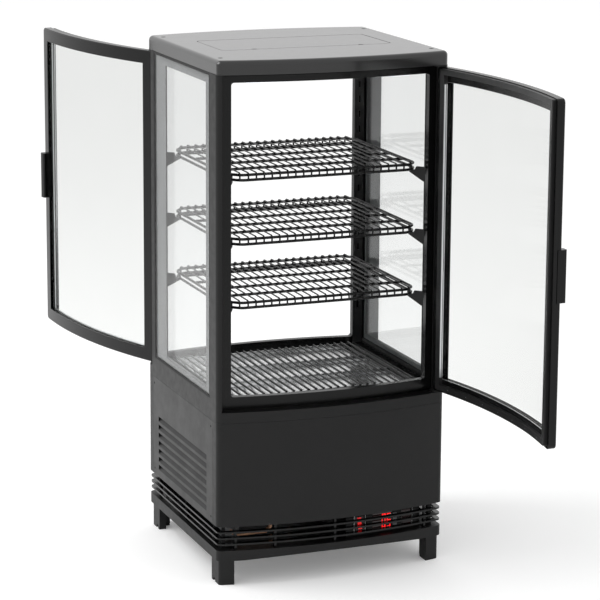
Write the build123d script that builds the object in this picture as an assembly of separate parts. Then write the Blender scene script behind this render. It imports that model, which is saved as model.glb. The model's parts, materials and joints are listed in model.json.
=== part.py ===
from build123d import *
import math
import os

# Refrigerated counter display case with a curved glass door at the front and another at the rear.
# Millimetres. +Z is up, the front looks along -Y, and +X is to the right of someone in front of it.
# The origin is on the counter, under the cabinet's upright axis.
# Both doors are drawn open, at the angles that they stand at when they are left open.

# Cabinet outline
body_width = 428.0
side_length = 376.0
face_bulge = 25.0
corner_radius = 12.0

# Heights of the levels, each one stacked on the one below
foot_height = 45.0
plinth_height = 18.5
skirt_height = 43.0
panel_height = 186.5
band_height = 19.0
door_zone_height = 584.5
lid_height = 24.5

# Gaps
seam = 0.3
seat_gap = 0.3
running_gap = 0.05
pane_gap = 0.1

# Base tray and feet
tray_wall = 3.0
tray_floor = 3.0
tray_inset = 0.5
arch_span = 330.0
arch_rise = 5.0
foot_inset = 5.0
foot_width = 26.0
foot_arm = 42.0
foot_notch_radius = 5.0
foot_pad_length = 10.0
foot_spigot_wall = 5.0
air_slot_length = 60.0
air_slot_width = 6.0
air_slot_count = 6

# Skirt grille
slat_count = 3
slat_thickness = 3.0
slat_depth = 10.0
slat_inset = 1.5
skirt_rib_width = 4.0
skirt_rib_depth = 6.0
skirt_rib_lap = 4.0
skirt_rib_inset = 34.0
skirt_rib_offset = 110.0
side_rib_inset = 38.0

# Lower panels
panel_sheet = 2.0
panel_return = 24.5
louvre_count = 7
louvre_pitch = 15.4
louvre_length = 264.0
louvre_height = 10.5
louvre_depth = 6.0
louvre_sheet = 1.5
lowest_louvre = 18.5
chassis_angle = 18.0
chassis_sheet = 2.0

# Middle band
band_wall = 4.0
band_top = 4.0
band_upstand = 18.0

# Evaporator tub and floor
tub_side_margin = 9.0
tub_half_depth = 150.0
tub_depth = 62.0
tub_wall = 10.0
tub_flange = 3.0
flange_reach = 6.0
deck_lip_gap = 2.0
deck_sheet = 2.0
deck_lip = 6.0
grid_bar_height = 8.0
grid_bar_width = 3.0
grid_bar_count = 4
rod_radius = 2.0
rod_pitch = 14.0
grid_rod_count = 25
grid_margin = 3.0
grille_height = 13.0
grille_half_length = 143.0
grille_wall = 2.0
fin_count = 22
fin_sheet = 1.6
fin_lean = 35.0

# Posts and side glass
post_width = 16.7
glass_half_length = 150.0
post_wall = 2.5
post_strip = 8.0
post_back_step = 2.0
gasket_edge = 4.0
pane_thickness = 4.0
pane_space = 8.0
spacer_width = 8.0
spacer_thickness = 7.0

# Doors
door_thickness = 14.0
door_rail = 24.0
door_corner = 8.0
door_edge_bevel = 1.5
door_free_gap = 3.0
door_hinge_gap = 1.0
door_bottom_gap = 2.5
door_top_gap = 3.5
door_pane = 3.0
door_pane_inset = 2.5
door_pane_space = 3.0
door_pane_grip = 8.0
pivot_from_edge = 7.0
pivot_from_face = 6.0
front_open_angle = 92.3
rear_open_angle = 101.7
seal_thickness = 7.4
seal_width = 10.0
seal_margin = 1.5
seal_corner = 3.0
handle_height = 88.0
handle_width = 13.0
handle_reach = 10.0
handle_lip = 1.4
handle_scoop = 5.0

# Hinges
pin_radius = 3.0
pin_length = 10.0
bracket_width = 22.0
bracket_depth = 16.5
bracket_corner = 4.0

# Door seats
seal_gap = 0.6
seat_depth = 12.0
seat_jamb = 14.0
seat_sill = 22.0
seat_head = 15.5
seat_groove_height = 4.0
seat_groove_depth = 3.0
seat_corner = 5.0

# Ceiling, lights and lid
ceiling_height = 16.0
ceiling_wall = 2.0
light_length = 300.0
light_width = 14.0
light_height = 4.0
light_from_front = 26.0
lid_inset = 1.5
lid_wall = 3.0
lid_lip = 30.0
lid_round = 8.0
hatch_width = 320.0
hatch_depth = 142.0
hatch_shift = 8.0
hatch_corner = 12.0
hatch_seam = 0.6
hatch_ledge = 8.0
hatch_notch = 5.0
notch_spacing = 200.0
lid_screw_x = 195.0
lid_screw_y = 151.0
screw_head_radius = 4.0
screw_head_height = 1.5
screw_shank_radius = 1.6
screw_shank = 9.0
screw_head_sides = 14
screw_shank_sides = 6

# Shelf uprights, clips and shelves
upright_width = 19.0
upright_sheet = 2.5
upright_slot_width = 3.2
upright_slot_height = 12.0
upright_slot_pitch = 28.0
clip_sheet = 4.0
clip_drop = 20.0
clip_hook_width = 4.0
clip_hook_height = 9.0
clip_seat_height = 6.0
shelf_half_width = 174.0
shelf_half_depth = 150.0
shelf_chamfer = 18.0
shelf_ring_radius = 2.5
shelf_ring_spacing = 9.0
wire_radius = 1.6
wire_pitch = 14.5
wire_count = 23
cross_wire_count = 4
lower_shelf_level = 148.0
shelf_pitch = 112.0

# Machine compartment
compressor_radius = 56.0
compressor_height = 120.0
compressor_x = 92.0
compressor_y = 55.0
dome_radius = 28.0
compressor_sides = 30
weld_rim_height = 4.0
weld_rim_reach = 3.0
terminal_cover_width = 40.0
terminal_cover_height = 30.0
terminal_cover_reach = 14.0
mount_plate = 3.0
mount_pad_radius = 9.0
mount_pad_height = 12.0
coil_x = 165.0
coil_length = 230.0
coil_height = 118.0
coil_depth = 36.0
coil_groove_count = 20
coil_fin_sheet = 2.0
coil_groove = 4.0
coil_stub = 8.0
coil_row_count = 5
coil_tube_radius = 4.0
end_plate = 2.0
fan_diameter = 108.0
fan_clearance = 3.0
hub_radius = 18.0
hub_length = 16.0
blade_count = 6
blade_sheet = 1.5
blade_pitch = 34.0
blade_chord = 0.26
blade_camber = 0.12
shroud_sheet = 2.0
shroud_length = 20.0
shroud_share = 0.6
shroud_sides = 36
motor_radius = 20.0
motor_length = 28.0
motor_sides = 20
motor_gap = 1.0
shaft_radius = 2.5
arm_width = 6.0
evaporator_length = 230.0
evaporator_height = 34.0
evaporator_depth = 60.0
evaporator_groove_count = 16
evaporator_row_count = 2
evaporator_fan_diameter = 42.0
evaporator_motor_height = 22.0
evaporator_fan_from_wall = 60.0
evaporator_from_wall = 12.0
motor_foot_length = 68.0
motor_foot_width = 48.0
pipe_radius = 3.2
pipe_bend = 9.0
pipe_level = 36.0
pipe_clearance = 22.0
box_width = 76.0
box_depth = 50.0
box_height = 58.0
box_wall = 2.0
box_x = 20.0
box_from_front = 60.0
box_rib_count = 5
box_rib_margin = 6.0

# Control panel
control_width = 150.0
control_height = 42.4
control_sheet = 2.0
control_centre = 100.0
control_set_back = 22.0
control_foot = 13.0
controller_width = 70.0
controller_height = 34.0
controller_depth = 44.0
controller_bezel = 2.5
controller_shift = 2.0
display_width = 38.0
display_height = 18.0
display_sink = 0.5
display_sheet = 1.5
display_shift = 6.0
key_width = 8.0
key_height = 5.0
key_travel = 0.8
key_proud = 0.6
key_depth = 3.0
key_spacing = 9.0
key_corner = 1.0
rocker_width = 20.0
rocker_height = 28.0
rocker_tilt = 12.0
rocker_axle_depth = 5.0
rocker_axle_radius = 1.5
rocker_proud = 2.0
rocker_hollow = 1.2
rocker_back = 2.0
rocker_spacing = 48.0
switch_depth = 18.0
switch_bezel = 1.5
switch_rim = 2.0
switch_well = 6.0
gland_radius = 9.0
gland_bore = 4.0
gland_sleeve = 6.5
gland_flange = 5.0
gland_length = 14.0
gland_crown = 3.0
gland_sides = 16
gland_level = 30.0
gland_x = 110.0

# Levels and lines that follow from the sizes above
half_width = body_width / 2
half_side = side_length / 2
front_reach = half_side + face_bulge
face_radius = (half_width**2 + face_bulge**2) / (2 * face_bulge)
face_centre = face_radius - front_reach
plinth_top = foot_height + plinth_height
panel_bottom = plinth_top + skirt_height
panel_top = panel_bottom + panel_height
band_level = panel_top + band_height
glass_level = band_level + band_upstand
lid_level = band_level + door_zone_height
lid_top = lid_level + lid_height
door_bottom = band_level + door_bottom_gap
door_top = lid_level - door_top_gap
door_free_x = -half_width + post_strip + door_free_gap
door_hinge_x = half_width - door_hinge_gap
seat_inset = door_thickness + seal_thickness + seal_gap
seat_back = seat_inset + seat_depth
jamb_outer = half_width - post_width - seam
jamb_inner = jamb_outer - seat_jamb
sill_top = band_level + seat_sill
head_bottom = lid_level - seat_head
tub_half_width = jamb_outer - tub_side_margin
deck_half_width = tub_half_width - tub_wall - deck_lip_gap
post_set_back = seat_inset - post_back_step
inner_glass_x = half_width - post_width
inner_pane_x = inner_glass_x + pane_thickness
outer_pane_x = inner_pane_x + pane_space + pane_thickness
ceiling_bottom = lid_level - ceiling_height
flange_top = band_level + tub_flange
deck_top = flange_top + deck_sheet
grid_top = deck_top + grid_bar_height + 2 * rod_radius
shelf_levels = [sill_top + lower_shelf_level + shelf_pitch * i for i in range(3)]


def face_y(x, inset):
    """The front face's y at x, for the outline moved in by inset."""
    return face_centre - math.sqrt((face_radius - inset) ** 2 - x**2)


pivot_x = door_hinge_x - pivot_from_edge
pivot_y = face_y(pivot_x, pivot_from_face)


def outline(inset):
    """The cabinet's outline seen from above, moved in by inset."""
    width = half_width - inset
    corner_y = face_y(width, inset)
    middle_y = -front_reach + inset
    edges = [
        ThreePointArc((-width, corner_y), (0, middle_y), (width, corner_y)),
        Line((width, corner_y), (width, -corner_y)),
        ThreePointArc((width, -corner_y), (0, -middle_y), (-width, -corner_y)),
        Line((-width, -corner_y), (-width, corner_y)),
    ]
    face = make_face(edges)
    radius = corner_radius - inset
    if radius > 1:
        face = fillet(face.vertices(), radius)
    return face


def slab(inset, low, high):
    """The outline as a solid between two heights."""
    return Pos(0, 0, low) * extrude(outline(inset), high - low)


def ring(outer, inner, low, high):
    """A closed wall between two insets and two heights."""
    return slab(outer, low, high) - slab(inner, low - 1, high + 1)


def face_disc(inset):
    """The circle that the front face is part of, moved in by inset."""
    return Pos(0, face_centre) * Circle(face_radius - inset)


def curved_wall(outer, inner, low, high):
    """A wall that follows the front face between two insets, without the corners."""
    return Pos(0, 0, low) * extrude(face_disc(outer) - face_disc(inner), high - low)


def between_faces(inset, half_x, low, high):
    """A plate between the curved front and rear faces, moved in by inset."""
    plan = Rectangle(2 * half_x, 4 * front_reach) & face_disc(inset) & (Rot(0, 0, 180) * face_disc(inset))
    return Pos(0, 0, low) * extrude(plan, high - low)


def on_front(x, inset, z):
    """A place on the front face, turned so that its own Y axis points straight in."""
    lean = math.degrees(math.asin(x / (face_radius - inset)))
    return Pos(x, face_y(x, inset), z) * Rot(0, 0, lean)


def block(x0, x1, y0, y1, z0, z1):
    """A box between its lowest and highest corners."""
    middle = ((x0 + x1) / 2, (y0 + y1) / 2, (z0 + z1) / 2)
    return Pos(*middle) * Box(abs(x1 - x0), abs(y1 - y0), abs(z1 - z0))


def front_window(x0, x1, z0, z1, radius):
    """A block seen as a rectangle from the front, with round corners where radius isn't 0."""
    middle = Plane(
        origin=((x0 + x1) / 2, -2 * front_reach, (z0 + z1) / 2), x_dir=(1, 0, 0), z_dir=(0, 1, 0)
    )
    window = RectangleRounded(x1 - x0, z1 - z0, radius) if radius > 0 else Rectangle(x1 - x0, z1 - z0)
    return extrude(middle * window, 2 * front_reach - half_side / 2)


def half_turn(shape):
    """The same piece at the opposite corner or face of the cabinet."""
    return shape.moved(Rot(0, 0, 180))


def across(shape):
    """The same piece on the other side, mirrored left to right."""
    return mirror(shape, about=Plane.YZ)


def behind(shape):
    """The same piece at the rear, mirrored front to back."""
    return mirror(shape, about=Plane.XZ)


def group(pieces):
    """Separate solids that share one node."""
    solids = [solid for piece in pieces for solid in piece.solids()]
    return Compound(solids)


def upright_cylinder(x, y, low, high, radius):
    return Pos(x, y, (low + high) / 2) * Cylinder(radius, high - low)


def upright_prism(x, y, low, high, radius, sides):
    """A many-sided stand-in for a round piece that nothing turns on."""
    return Pos(x, y, low) * extrude(RegularPolygon(radius, sides), high - low)


# Base


def base_tray():
    """Moulded plinth rim with a floor, arched along the front and the rear."""
    rim = ring(tray_inset, tray_inset + tray_wall, foot_height, plinth_top)
    floor = slab(tray_inset + 1, plinth_top - tray_floor, plinth_top)
    half_span = arch_span / 2
    arch_edges = [
        ThreePointArc((-half_span, foot_height), (0, foot_height + arch_rise), (half_span, foot_height)),
        Line((half_span, foot_height), (half_span, foot_height - 1)),
        Line((half_span, foot_height - 1), (-half_span, foot_height - 1)),
        Line((-half_span, foot_height - 1), (-half_span, foot_height)),
    ]
    arch = extrude(Plane.XZ * make_face(arch_edges), 2 * front_reach, both=True)
    tray = rim + floor - arch
    slot_step = air_slot_width * 3
    for i in range(air_slot_count):
        offset = (i - (air_slot_count - 1) / 2) * slot_step
        slot = extrude(Rectangle(air_slot_length, air_slot_width), tray_floor * 3)
        tray -= Pos(-compressor_x, offset, plinth_top - tray_floor * 2) * slot
    return tray


def foot(side_x, side_y):
    """L-shaped corner foot: a block at the corner and an arm with a notch under it."""
    x_out = half_width - foot_inset
    y_out = half_side - 1.0
    x_in = x_out - foot_width
    body = block(x_in, x_out, y_out - foot_width, y_out + 20, 0, foot_height)
    arm = block(x_out - foot_width / 2, x_out, y_out - foot_arm, y_out - foot_width + 1, 0, foot_height)
    notch_y = y_out - foot_width - (foot_arm - foot_width - foot_pad_length) / 2
    notch_section = Plane.YZ * RegularPolygon(foot_notch_radius, 12)
    notch = Pos(x_out, notch_y, foot_notch_radius / 3) * extrude(notch_section, foot_width * 1.5, both=True)
    spigot_low = foot_height - 1
    spigot_out = tray_inset + tray_wall + seam
    spigot = block(
        x_in + foot_spigot_wall,
        half_width,
        y_out - foot_width + foot_spigot_wall,
        half_side + face_bulge,
        spigot_low,
        plinth_top - tray_floor,
    )
    spigot &= slab(spigot_out, spigot_low, plinth_top)
    lower = (body + arm - notch) & slab(foot_inset, -1, foot_height + 1)
    shape = lower + spigot
    if side_x < 0:
        shape = across(shape)
    if side_y < 0:
        shape = behind(shape)
    return shape


def corner_feet():
    return group([foot(sx, sy) for sx in (-1, 1) for sy in (-1, 1)])


def skirt_grille():
    """Three thin slats that run round the cabinet, held by ribs on their inner edge."""
    step = skirt_height / (slat_count + 1)
    skirt = None
    for i in range(slat_count):
        middle = plinth_top + step * (i + 1)
        low = middle - slat_thickness / 2
        slat = ring(slat_inset, slat_inset + slat_depth, low, low + slat_thickness)
        skirt = slat if skirt is None else skirt + slat
    low = plinth_top
    high = panel_bottom
    inner = slat_inset + slat_depth
    rib_inner = inner - skirt_rib_lap + skirt_rib_depth
    rib_zone = ring(inner - skirt_rib_lap, rib_inner, low, high)
    reach = half_width + front_reach
    corner_rib = half_width - skirt_rib_inset
    side_rib = half_side - side_rib_inset
    ribs = None
    for x in (-corner_rib, -skirt_rib_offset, 0, corner_rib):
        strip = block(x - skirt_rib_width / 2, x + skirt_rib_width / 2, -reach, reach, low, high)
        ribs = strip if ribs is None else ribs + strip
    for y in (-side_rib, 0, side_rib):
        ribs += block(-reach, reach, y - skirt_rib_width / 2, y + skirt_rib_width / 2, low, high)
    return skirt + (rib_zone & ribs)


# Lower panels


def front_panel():
    """Curved sheet that wraps both front corners and ends in short returns."""
    sheet = ring(0, panel_sheet, panel_bottom + seam, panel_top - seam)
    keep = block(-body_width, body_width, -body_width, -half_side + panel_return, 0, lid_top)
    return sheet & keep


def louvre(level):
    """One pressed louvre's blade: joined at its lower edge, pushed in at its upper edge."""
    outer = -half_width
    low = level - louvre_height / 2
    high = level + louvre_height / 2
    outline_points = [
        (outer, low - 1),
        (outer + panel_sheet, low - 1),
        (outer + louvre_depth + louvre_sheet, high - 2),
        (outer + louvre_depth, high - 2),
        (outer, low + 1),
    ]
    profile = Plane.XZ * make_face(Polyline(outline_points, close=True))
    return extrude(profile, louvre_length / 2, both=True)


def left_side_panel():
    """Flat sheet with seven pressed louvres."""
    edge = half_side - panel_return - seam
    sheet = block(
        -half_width, -half_width + panel_sheet, -edge, edge, panel_bottom + seam, panel_top - seam
    )
    for i in range(louvre_count):
        level = panel_bottom + lowest_louvre + louvre_pitch * i
        slot = block(
            -half_width - 1,
            -half_width + panel_sheet + 1,
            -louvre_length / 2,
            louvre_length / 2,
            level - louvre_height / 2,
            level + louvre_height / 2,
        )
        sheet = sheet - slot + louvre(level)
    return sheet


def chassis_uprights():
    """Four steel angles between the tray and the band, behind the panel seams."""
    outer = half_width - panel_sheet
    corner_y = half_side - panel_return + chassis_angle / 2
    low = plinth_top
    high = panel_top
    inner = outer - chassis_angle
    leg = block(outer - chassis_sheet, outer, corner_y - chassis_angle, corner_y, low, high)
    foot_leg = block(inner, outer, corner_y - chassis_sheet, corner_y, low, high)
    skirt_inner = half_width - slat_inset - slat_depth - skirt_rib_depth + skirt_rib_lap - seam
    skirt_clear = block(skirt_inner, half_width, -half_side, half_side, low - 1, panel_bottom - seam)
    angle = leg + foot_leg - skirt_clear
    foot_pad = block(
        inner - chassis_angle,
        outer - slat_depth - 4,
        corner_y - chassis_sheet - chassis_angle,
        corner_y,
        low,
        low + chassis_sheet,
    )
    angle += foot_pad
    corners = [angle, across(angle), behind(angle), half_turn(angle)]
    return group(corners)


# Middle band


def post_section(hinge_side):
    """A corner post's outline seen from above, at the front right corner."""
    near = -glass_half_length - seam
    strip = 0 if hinge_side else post_strip
    zone = Pos(half_width - post_width / 2, near - post_width * 2) * Rectangle(post_width, post_width * 4)
    set_back = Pos(half_width - strip - post_width, near - post_width * 2) * Rectangle(
        post_width * 2, post_width * 4
    )
    return (zone & outline(0)) - (set_back - face_disc(post_set_back))


def mid_band():
    """Ring between the lower panels and the door zone, raised at the sides to carry the glass."""
    skin = ring(0, band_wall, panel_top, band_level)
    top = slab(0, band_level - band_top, band_level)
    well = block(
        -tub_half_width - seam,
        tub_half_width + seam,
        -tub_half_depth - seam,
        tub_half_depth + seam,
        0,
        lid_top,
    )
    band = skin + (top - well)
    half = glass_half_length + seam
    side = block(inner_glass_x, half_width, -half, half, band_level, glass_level)
    band += side
    band += across(side)
    for hinge_side in (True, False):
        corner = Pos(0, 0, band_level) * extrude(post_section(hinge_side), band_upstand)
        if hinge_side:
            band += corner
            band += half_turn(corner)
        else:
            band += across(corner)
            band += half_turn(across(corner))
    return band


# Evaporator tub and floor


def evaporator_tub():
    """Insulated tub that hangs by its flange in the band."""
    low = band_level - tub_depth
    outer = block(-tub_half_width, tub_half_width, -tub_half_depth, tub_half_depth, low, flange_top)
    flange = block(
        -tub_half_width - flange_reach,
        tub_half_width + flange_reach,
        -tub_half_depth - flange_reach,
        tub_half_depth + flange_reach,
        band_level,
        flange_top,
    )
    pocket = block(
        -tub_half_width + tub_wall,
        tub_half_width - tub_wall,
        -tub_half_depth + tub_wall,
        tub_half_depth - tub_wall,
        low + tub_wall,
        flange_top + 1,
    )
    return outer + flange - pocket


def deck_plate():
    """Bright metal floor between the door seats, turned down along its two sides."""
    plate = between_faces(seat_back + seam, deck_half_width, flange_top, deck_top)
    pocket_half = tub_half_depth - tub_wall - seam
    for side in (-1, 1):
        x_out = side * deck_half_width
        x_in = side * (deck_half_width - deck_sheet)
        lip_low = flange_top - deck_lip
        lip = block(min(x_in, x_out), max(x_in, x_out), -pocket_half, pocket_half, lip_low, deck_top)
        plate += lip
    return plate


def floor_grid():
    """Front-to-back rods on flat bars, laid on the deck."""
    half_depth = tub_half_depth - grid_margin
    bar_half = (grid_rod_count - 1) * rod_pitch / 2 + rod_radius
    bar_top = deck_top + grid_bar_height
    pieces = []
    for i in range(grid_bar_count):
        y = -half_depth + rod_radius + (2 * half_depth - 2 * rod_radius) * i / (grid_bar_count - 1)
        half_bar = grid_bar_width / 2
        pieces.append(block(-bar_half, bar_half, y - half_bar, y + half_bar, deck_top, bar_top))
    for i in range(grid_rod_count):
        x = (i - (grid_rod_count - 1) / 2) * rod_pitch
        section = Plane(origin=(x, -half_depth, bar_top + rod_radius), x_dir=(1, 0, 0), z_dir=(0, 1, 0))
        pieces.append(extrude(section * flat_rod(rod_radius, 6), 2 * half_depth))
    return group(pieces)


def air_grille():
    """Long outlet at the right of the floor, with leaning fins between its walls."""
    x_in = deck_half_width + seam
    x_out = inner_glass_x - seam
    half = grille_half_length
    low = flange_top
    high = low + grille_height
    frame = block(x_in, x_out, -half, half, low, high)
    frame -= block(
        x_in + grille_wall, x_out - grille_wall, -half + grille_wall, half - grille_wall, low - 1, high + 1
    )
    pitch = (2 * half - 2 * grille_wall) / fin_count
    fins = []
    for i in range(fin_count):
        y = -half + grille_wall + pitch * (i + 0.5)
        fin = Rot(fin_lean, 0, 0) * Box(x_out - x_in - grille_wall, fin_sheet, grille_height)
        fins.append(Pos((x_in + x_out) / 2, y, (low + high) / 2) * fin)
    limits = block(x_in, x_out, -half, half, low, high)
    return frame.fuse(*fins) & limits


# Posts and side glass


def corner_post(hinge_side):
    """Hollow post at the front right corner, set back where a door closes over it."""
    section = post_section(hinge_side)
    hollow = offset(section, -post_wall)
    profile = section - hollow
    return Pos(0, 0, glass_level) * extrude(profile, lid_level - glass_level)


def side_frame(margin, x_in, x_out):
    """An upright rectangular frame in the right side, margin wide."""
    low = glass_level
    high = lid_level - seam
    half = glass_half_length
    frame = block(x_in, x_out, -half, half, low, high)
    return frame - block(x_in - 1, x_out + 1, -half + margin, half - margin, low + margin, high - margin)


def side_pane(x_out):
    """One flat pane of the right side."""
    half = glass_half_length - gasket_edge
    low = glass_level + gasket_edge
    high = lid_level - seam - gasket_edge
    return block(x_out - pane_thickness, x_out, -half, half, low, high)


def side_gasket():
    return side_frame(gasket_edge, inner_glass_x, outer_pane_x + 0.5)


def side_spacer():
    """Bright spacer between the two panes."""
    middle = outer_pane_x - pane_thickness - pane_space / 2
    half_thickness = spacer_thickness / 2
    outer = side_frame(gasket_edge + spacer_width, middle - half_thickness, middle + half_thickness)
    rim = side_frame(gasket_edge, middle - half_thickness - 1, middle + half_thickness + 1)
    return outer - rim


def door_seat():
    """Frame of four bars that the front door's seal closes on, stepped back above and below."""
    shell = curved_wall(seat_inset + seat_groove_depth, seat_back, band_level, lid_level)
    shell += curved_wall(
        seat_inset, seat_back - 1, band_level + seat_groove_height, lid_level - seat_groove_height
    )
    outer = front_window(-jamb_outer, jamb_outer, band_level, lid_level, 0)
    opening = front_window(-jamb_inner, jamb_inner, sill_top, head_bottom, seat_corner)
    seat = (shell & outer) - opening
    reach = 2 * front_reach
    sill = block(-reach, reach, -reach, 0, band_level, sill_top)
    head = block(-reach, reach, -reach, 0, head_bottom, lid_level)
    middle = block(0, reach, -reach, 0, sill_top, head_bottom)
    return group([seat & sill, seat & head, seat & middle, seat & across(middle)])


def shelf_upright():
    """Slotted strip across the inner corner at the front right."""
    low = flange_top
    high = ceiling_bottom
    strip = block(-upright_width / 2, upright_width / 2, 0, upright_sheet, low, high)
    slots = []
    level = shelf_levels[0] - 3 * upright_slot_pitch
    while level < high - upright_slot_pitch / 2:
        slots.append(Pos(0, 0, level) * Box(upright_slot_width, 4 * upright_sheet, upright_slot_height))
        level += upright_slot_pitch
    return place_in_corner(strip.cut(*slots))


def corner_middle():
    """The point between the glass and the door seat where the slotted strip stands."""
    reach = upright_width / 2 * math.sqrt(0.5)
    x = inner_glass_x - seam - reach
    y = face_y(x - reach, seat_back) + seam + reach
    return x, y


def place_in_corner(shape):
    """Turns a piece drawn on the Y axis to face the chamber from its front right corner."""
    x, y = corner_middle()
    return Pos(x, y, 0) * Rot(0, 0, 45) * shape


def shelf_clip(level):
    """Triangular bracket with an upturned hook, at the front right corner."""
    corner_x, corner_y = corner_middle()
    chamfer_line = shelf_half_width + shelf_half_depth - shelf_chamfer
    rest = (corner_x - corner_y - chamfer_line) * math.sqrt(0.5) - upright_sheet
    near = rest - shelf_ring_radius - 2 * seam
    far = rest + shelf_ring_radius + 2 * seam
    tip = far + clip_hook_width
    points = [
        (0, level - clip_drop),
        (0, level + clip_seat_height),
        (near - clip_seat_height / 2, level + clip_seat_height),
        (near, level),
        (far, level),
        (far, level + clip_hook_height),
        (tip, level + clip_hook_height),
        (tip, level - clip_hook_width),
        (clip_hook_width, level - clip_drop),
    ]
    profile = Plane.YZ * make_face(Polyline(points, close=True))
    plate = extrude(profile, clip_sheet / 2, both=True)
    return place_in_corner(Pos(0, upright_sheet, 0) * plate)


def flat_rod(radius, sides):
    """A rod's section with a flat at the top and the bottom."""
    return RegularPolygon(radius, sides, major_radius=False, rotation=180 / sides)


def shelf_ring(level):
    """A rod bent round the shelf's eight-sided outline."""
    x = shelf_half_width
    y = shelf_half_depth
    c = shelf_chamfer
    half = [(x - c, -y), (x, -y + c), (x, y - c), (x - c, y)]
    points = [(0, -y)] + half + [(-px, -py) for px, py in half]
    path = Polyline([(px, py, level) for px, py in points], close=True)
    section = Plane(origin=(0, -y, level), z_dir=(1, 0, 0)) * flat_rod(shelf_ring_radius, 6)
    return sweep(section, path=path, transition=Transition.RIGHT)


def shelf_wire(x, low, high):
    """One front-to-back wire, turned down over the rods at both ends."""
    trim = max(0.0, abs(x) - shelf_half_width + shelf_chamfer)
    end = shelf_half_depth + shelf_ring_radius + wire_radius - trim
    path = Polyline((x, -end, low), (x, -end, high), (x, end, high), (x, end, low))
    section = Plane(origin=(x, -end, low), x_dir=(1, 0, 0), z_dir=(0, 0, 1)) * flat_rod(wire_radius, 6)
    return sweep(section, path=path, transition=Transition.RIGHT)


def wire_shelf():
    """Two rods round the edge, wires laid over them and turned down, and cross wires between."""
    low_ring = seat_gap + shelf_ring_radius
    high_ring = low_ring + shelf_ring_spacing
    pieces = [shelf_ring(low_ring), shelf_ring(high_ring)]
    for i in range(wire_count):
        x = (i - (wire_count - 1) / 2) * wire_pitch
        pieces.append(shelf_wire(x, low_ring, high_ring + shelf_ring_radius + wire_radius))
    cross_half = shelf_half_width - shelf_ring_radius
    for i in range(cross_wire_count):
        y = (i - (cross_wire_count - 1) / 2) * (2 * shelf_half_depth / (cross_wire_count + 1))
        section = Plane(origin=(-cross_half, y, high_ring), x_dir=(0, 1, 0), z_dir=(1, 0, 0))
        pieces.append(extrude(section * flat_rod(shelf_ring_radius, 6), 2 * cross_half))
    return group(pieces)


# Ceiling and lid


def ceiling_panel():
    """Shallow pan over the chamber, between the door seats."""
    x = inner_glass_x - seam
    pan = between_faces(seat_back + seam, x, ceiling_bottom, lid_level)
    return pan - between_faces(
        seat_back + seam + ceiling_wall, x - ceiling_wall, ceiling_bottom + ceiling_wall, lid_level + 1
    )


def light_strips():
    """Two diffusers under the ceiling, one near each door."""
    y = front_reach - seat_back - light_from_front
    strip = Pos(0, -y, ceiling_bottom - light_height / 2) * Box(light_length, light_width, light_height)
    strip = chamfer(strip.faces().sort_by(Axis.Z)[0].edges(), light_height / 3)
    return group([strip, half_turn(strip)])


def lid():
    """Moulded cover with a soft upper edge and a rebate for the hatch."""
    body = slab(lid_inset, lid_level, lid_top)
    body = fillet(body.faces().sort_by(Axis.Z)[-1].edges(), lid_round)
    body -= slab(lid_inset + lid_wall, lid_level + lid_wall, lid_top - lid_wall)
    body -= slab(lid_lip, lid_level - 1, lid_level + lid_wall + 1)
    rebate = extrude(RectangleRounded(hatch_width, hatch_depth, hatch_corner), lid_height)
    opening = extrude(
        RectangleRounded(hatch_width - 2 * hatch_ledge, hatch_depth - 2 * hatch_ledge, hatch_corner / 2),
        lid_height,
    )
    ledge = extrude(
        RectangleRounded(hatch_width + 2 * hatch_ledge, hatch_depth + 2 * hatch_ledge, hatch_corner),
        lid_wall,
    )
    body += Pos(0, hatch_shift, lid_top - 2 * lid_wall) * ledge
    body -= Pos(0, hatch_shift, lid_top - lid_wall) * rebate
    body -= Pos(0, hatch_shift, lid_level) * opening
    for x in (-lid_screw_x, lid_screw_x):
        for y in (-lid_screw_y, lid_screw_y):
            head_low = lid_top - screw_head_height
            body -= upright_prism(x, y, head_low, lid_top + 1, screw_head_radius + seam, screw_head_sides)
            body -= upright_prism(x, y, lid_level, lid_top, screw_shank_radius + seam, screw_shank_sides)
    return body


def hatch():
    """Flush service hatch with two finger notches."""
    width = hatch_width - 2 * hatch_seam
    depth = hatch_depth - 2 * hatch_seam
    sheet = lid_wall - seat_gap
    plate = extrude(RectangleRounded(width, depth, hatch_corner - hatch_seam), sheet)
    for x in (-notch_spacing / 2, notch_spacing / 2):
        plate -= Pos(x, -depth / 2, 0) * extrude(Circle(hatch_notch), sheet)
    return Pos(0, hatch_shift, lid_top - sheet) * plate


def cover_screws():
    """Four screws that hold the lid, under dark caps."""
    low = -screw_head_height - screw_shank
    head = upright_prism(0, 0, -screw_head_height, 0, screw_head_radius, screw_head_sides)
    shank = upright_prism(0, 0, low, -screw_head_height, screw_shank_radius, screw_shank_sides)
    screw = head + shank
    places = [(x, y) for x in (-lid_screw_x, lid_screw_x) for y in (-lid_screw_y, lid_screw_y)]
    return group([Pos(x, y, lid_top) * screw for x, y in places])


# Doors


def swing(shape, angle):
    """Turns a closed front door's piece about its hinge pin."""
    return shape.moved(Pos(pivot_x, pivot_y, 0) * Rot(0, 0, angle) * Pos(-pivot_x, -pivot_y, 0))


def door_frame():
    """Curved frame round the door's glass, drawn closed."""
    shell = curved_wall(0, door_thickness, door_bottom, door_top)
    frame = shell & front_window(door_free_x, door_hinge_x, door_bottom, door_top, door_corner)
    outer_edges = frame.faces().sort_by(Axis.Y)[0].edges()
    frame = chamfer(outer_edges, door_edge_bevel)
    frame -= front_window(
        door_free_x + door_rail,
        door_hinge_x - door_rail,
        door_bottom + door_rail,
        door_top - door_rail,
        0,
    )
    frame -= door_panes(pane_gap)
    bore_length = pin_length + 2
    for low in (door_bottom - 1, door_top - pin_length - 1):
        frame -= upright_cylinder(pivot_x, pivot_y, low, low + bore_length, pin_radius + running_gap)
    return frame


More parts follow.
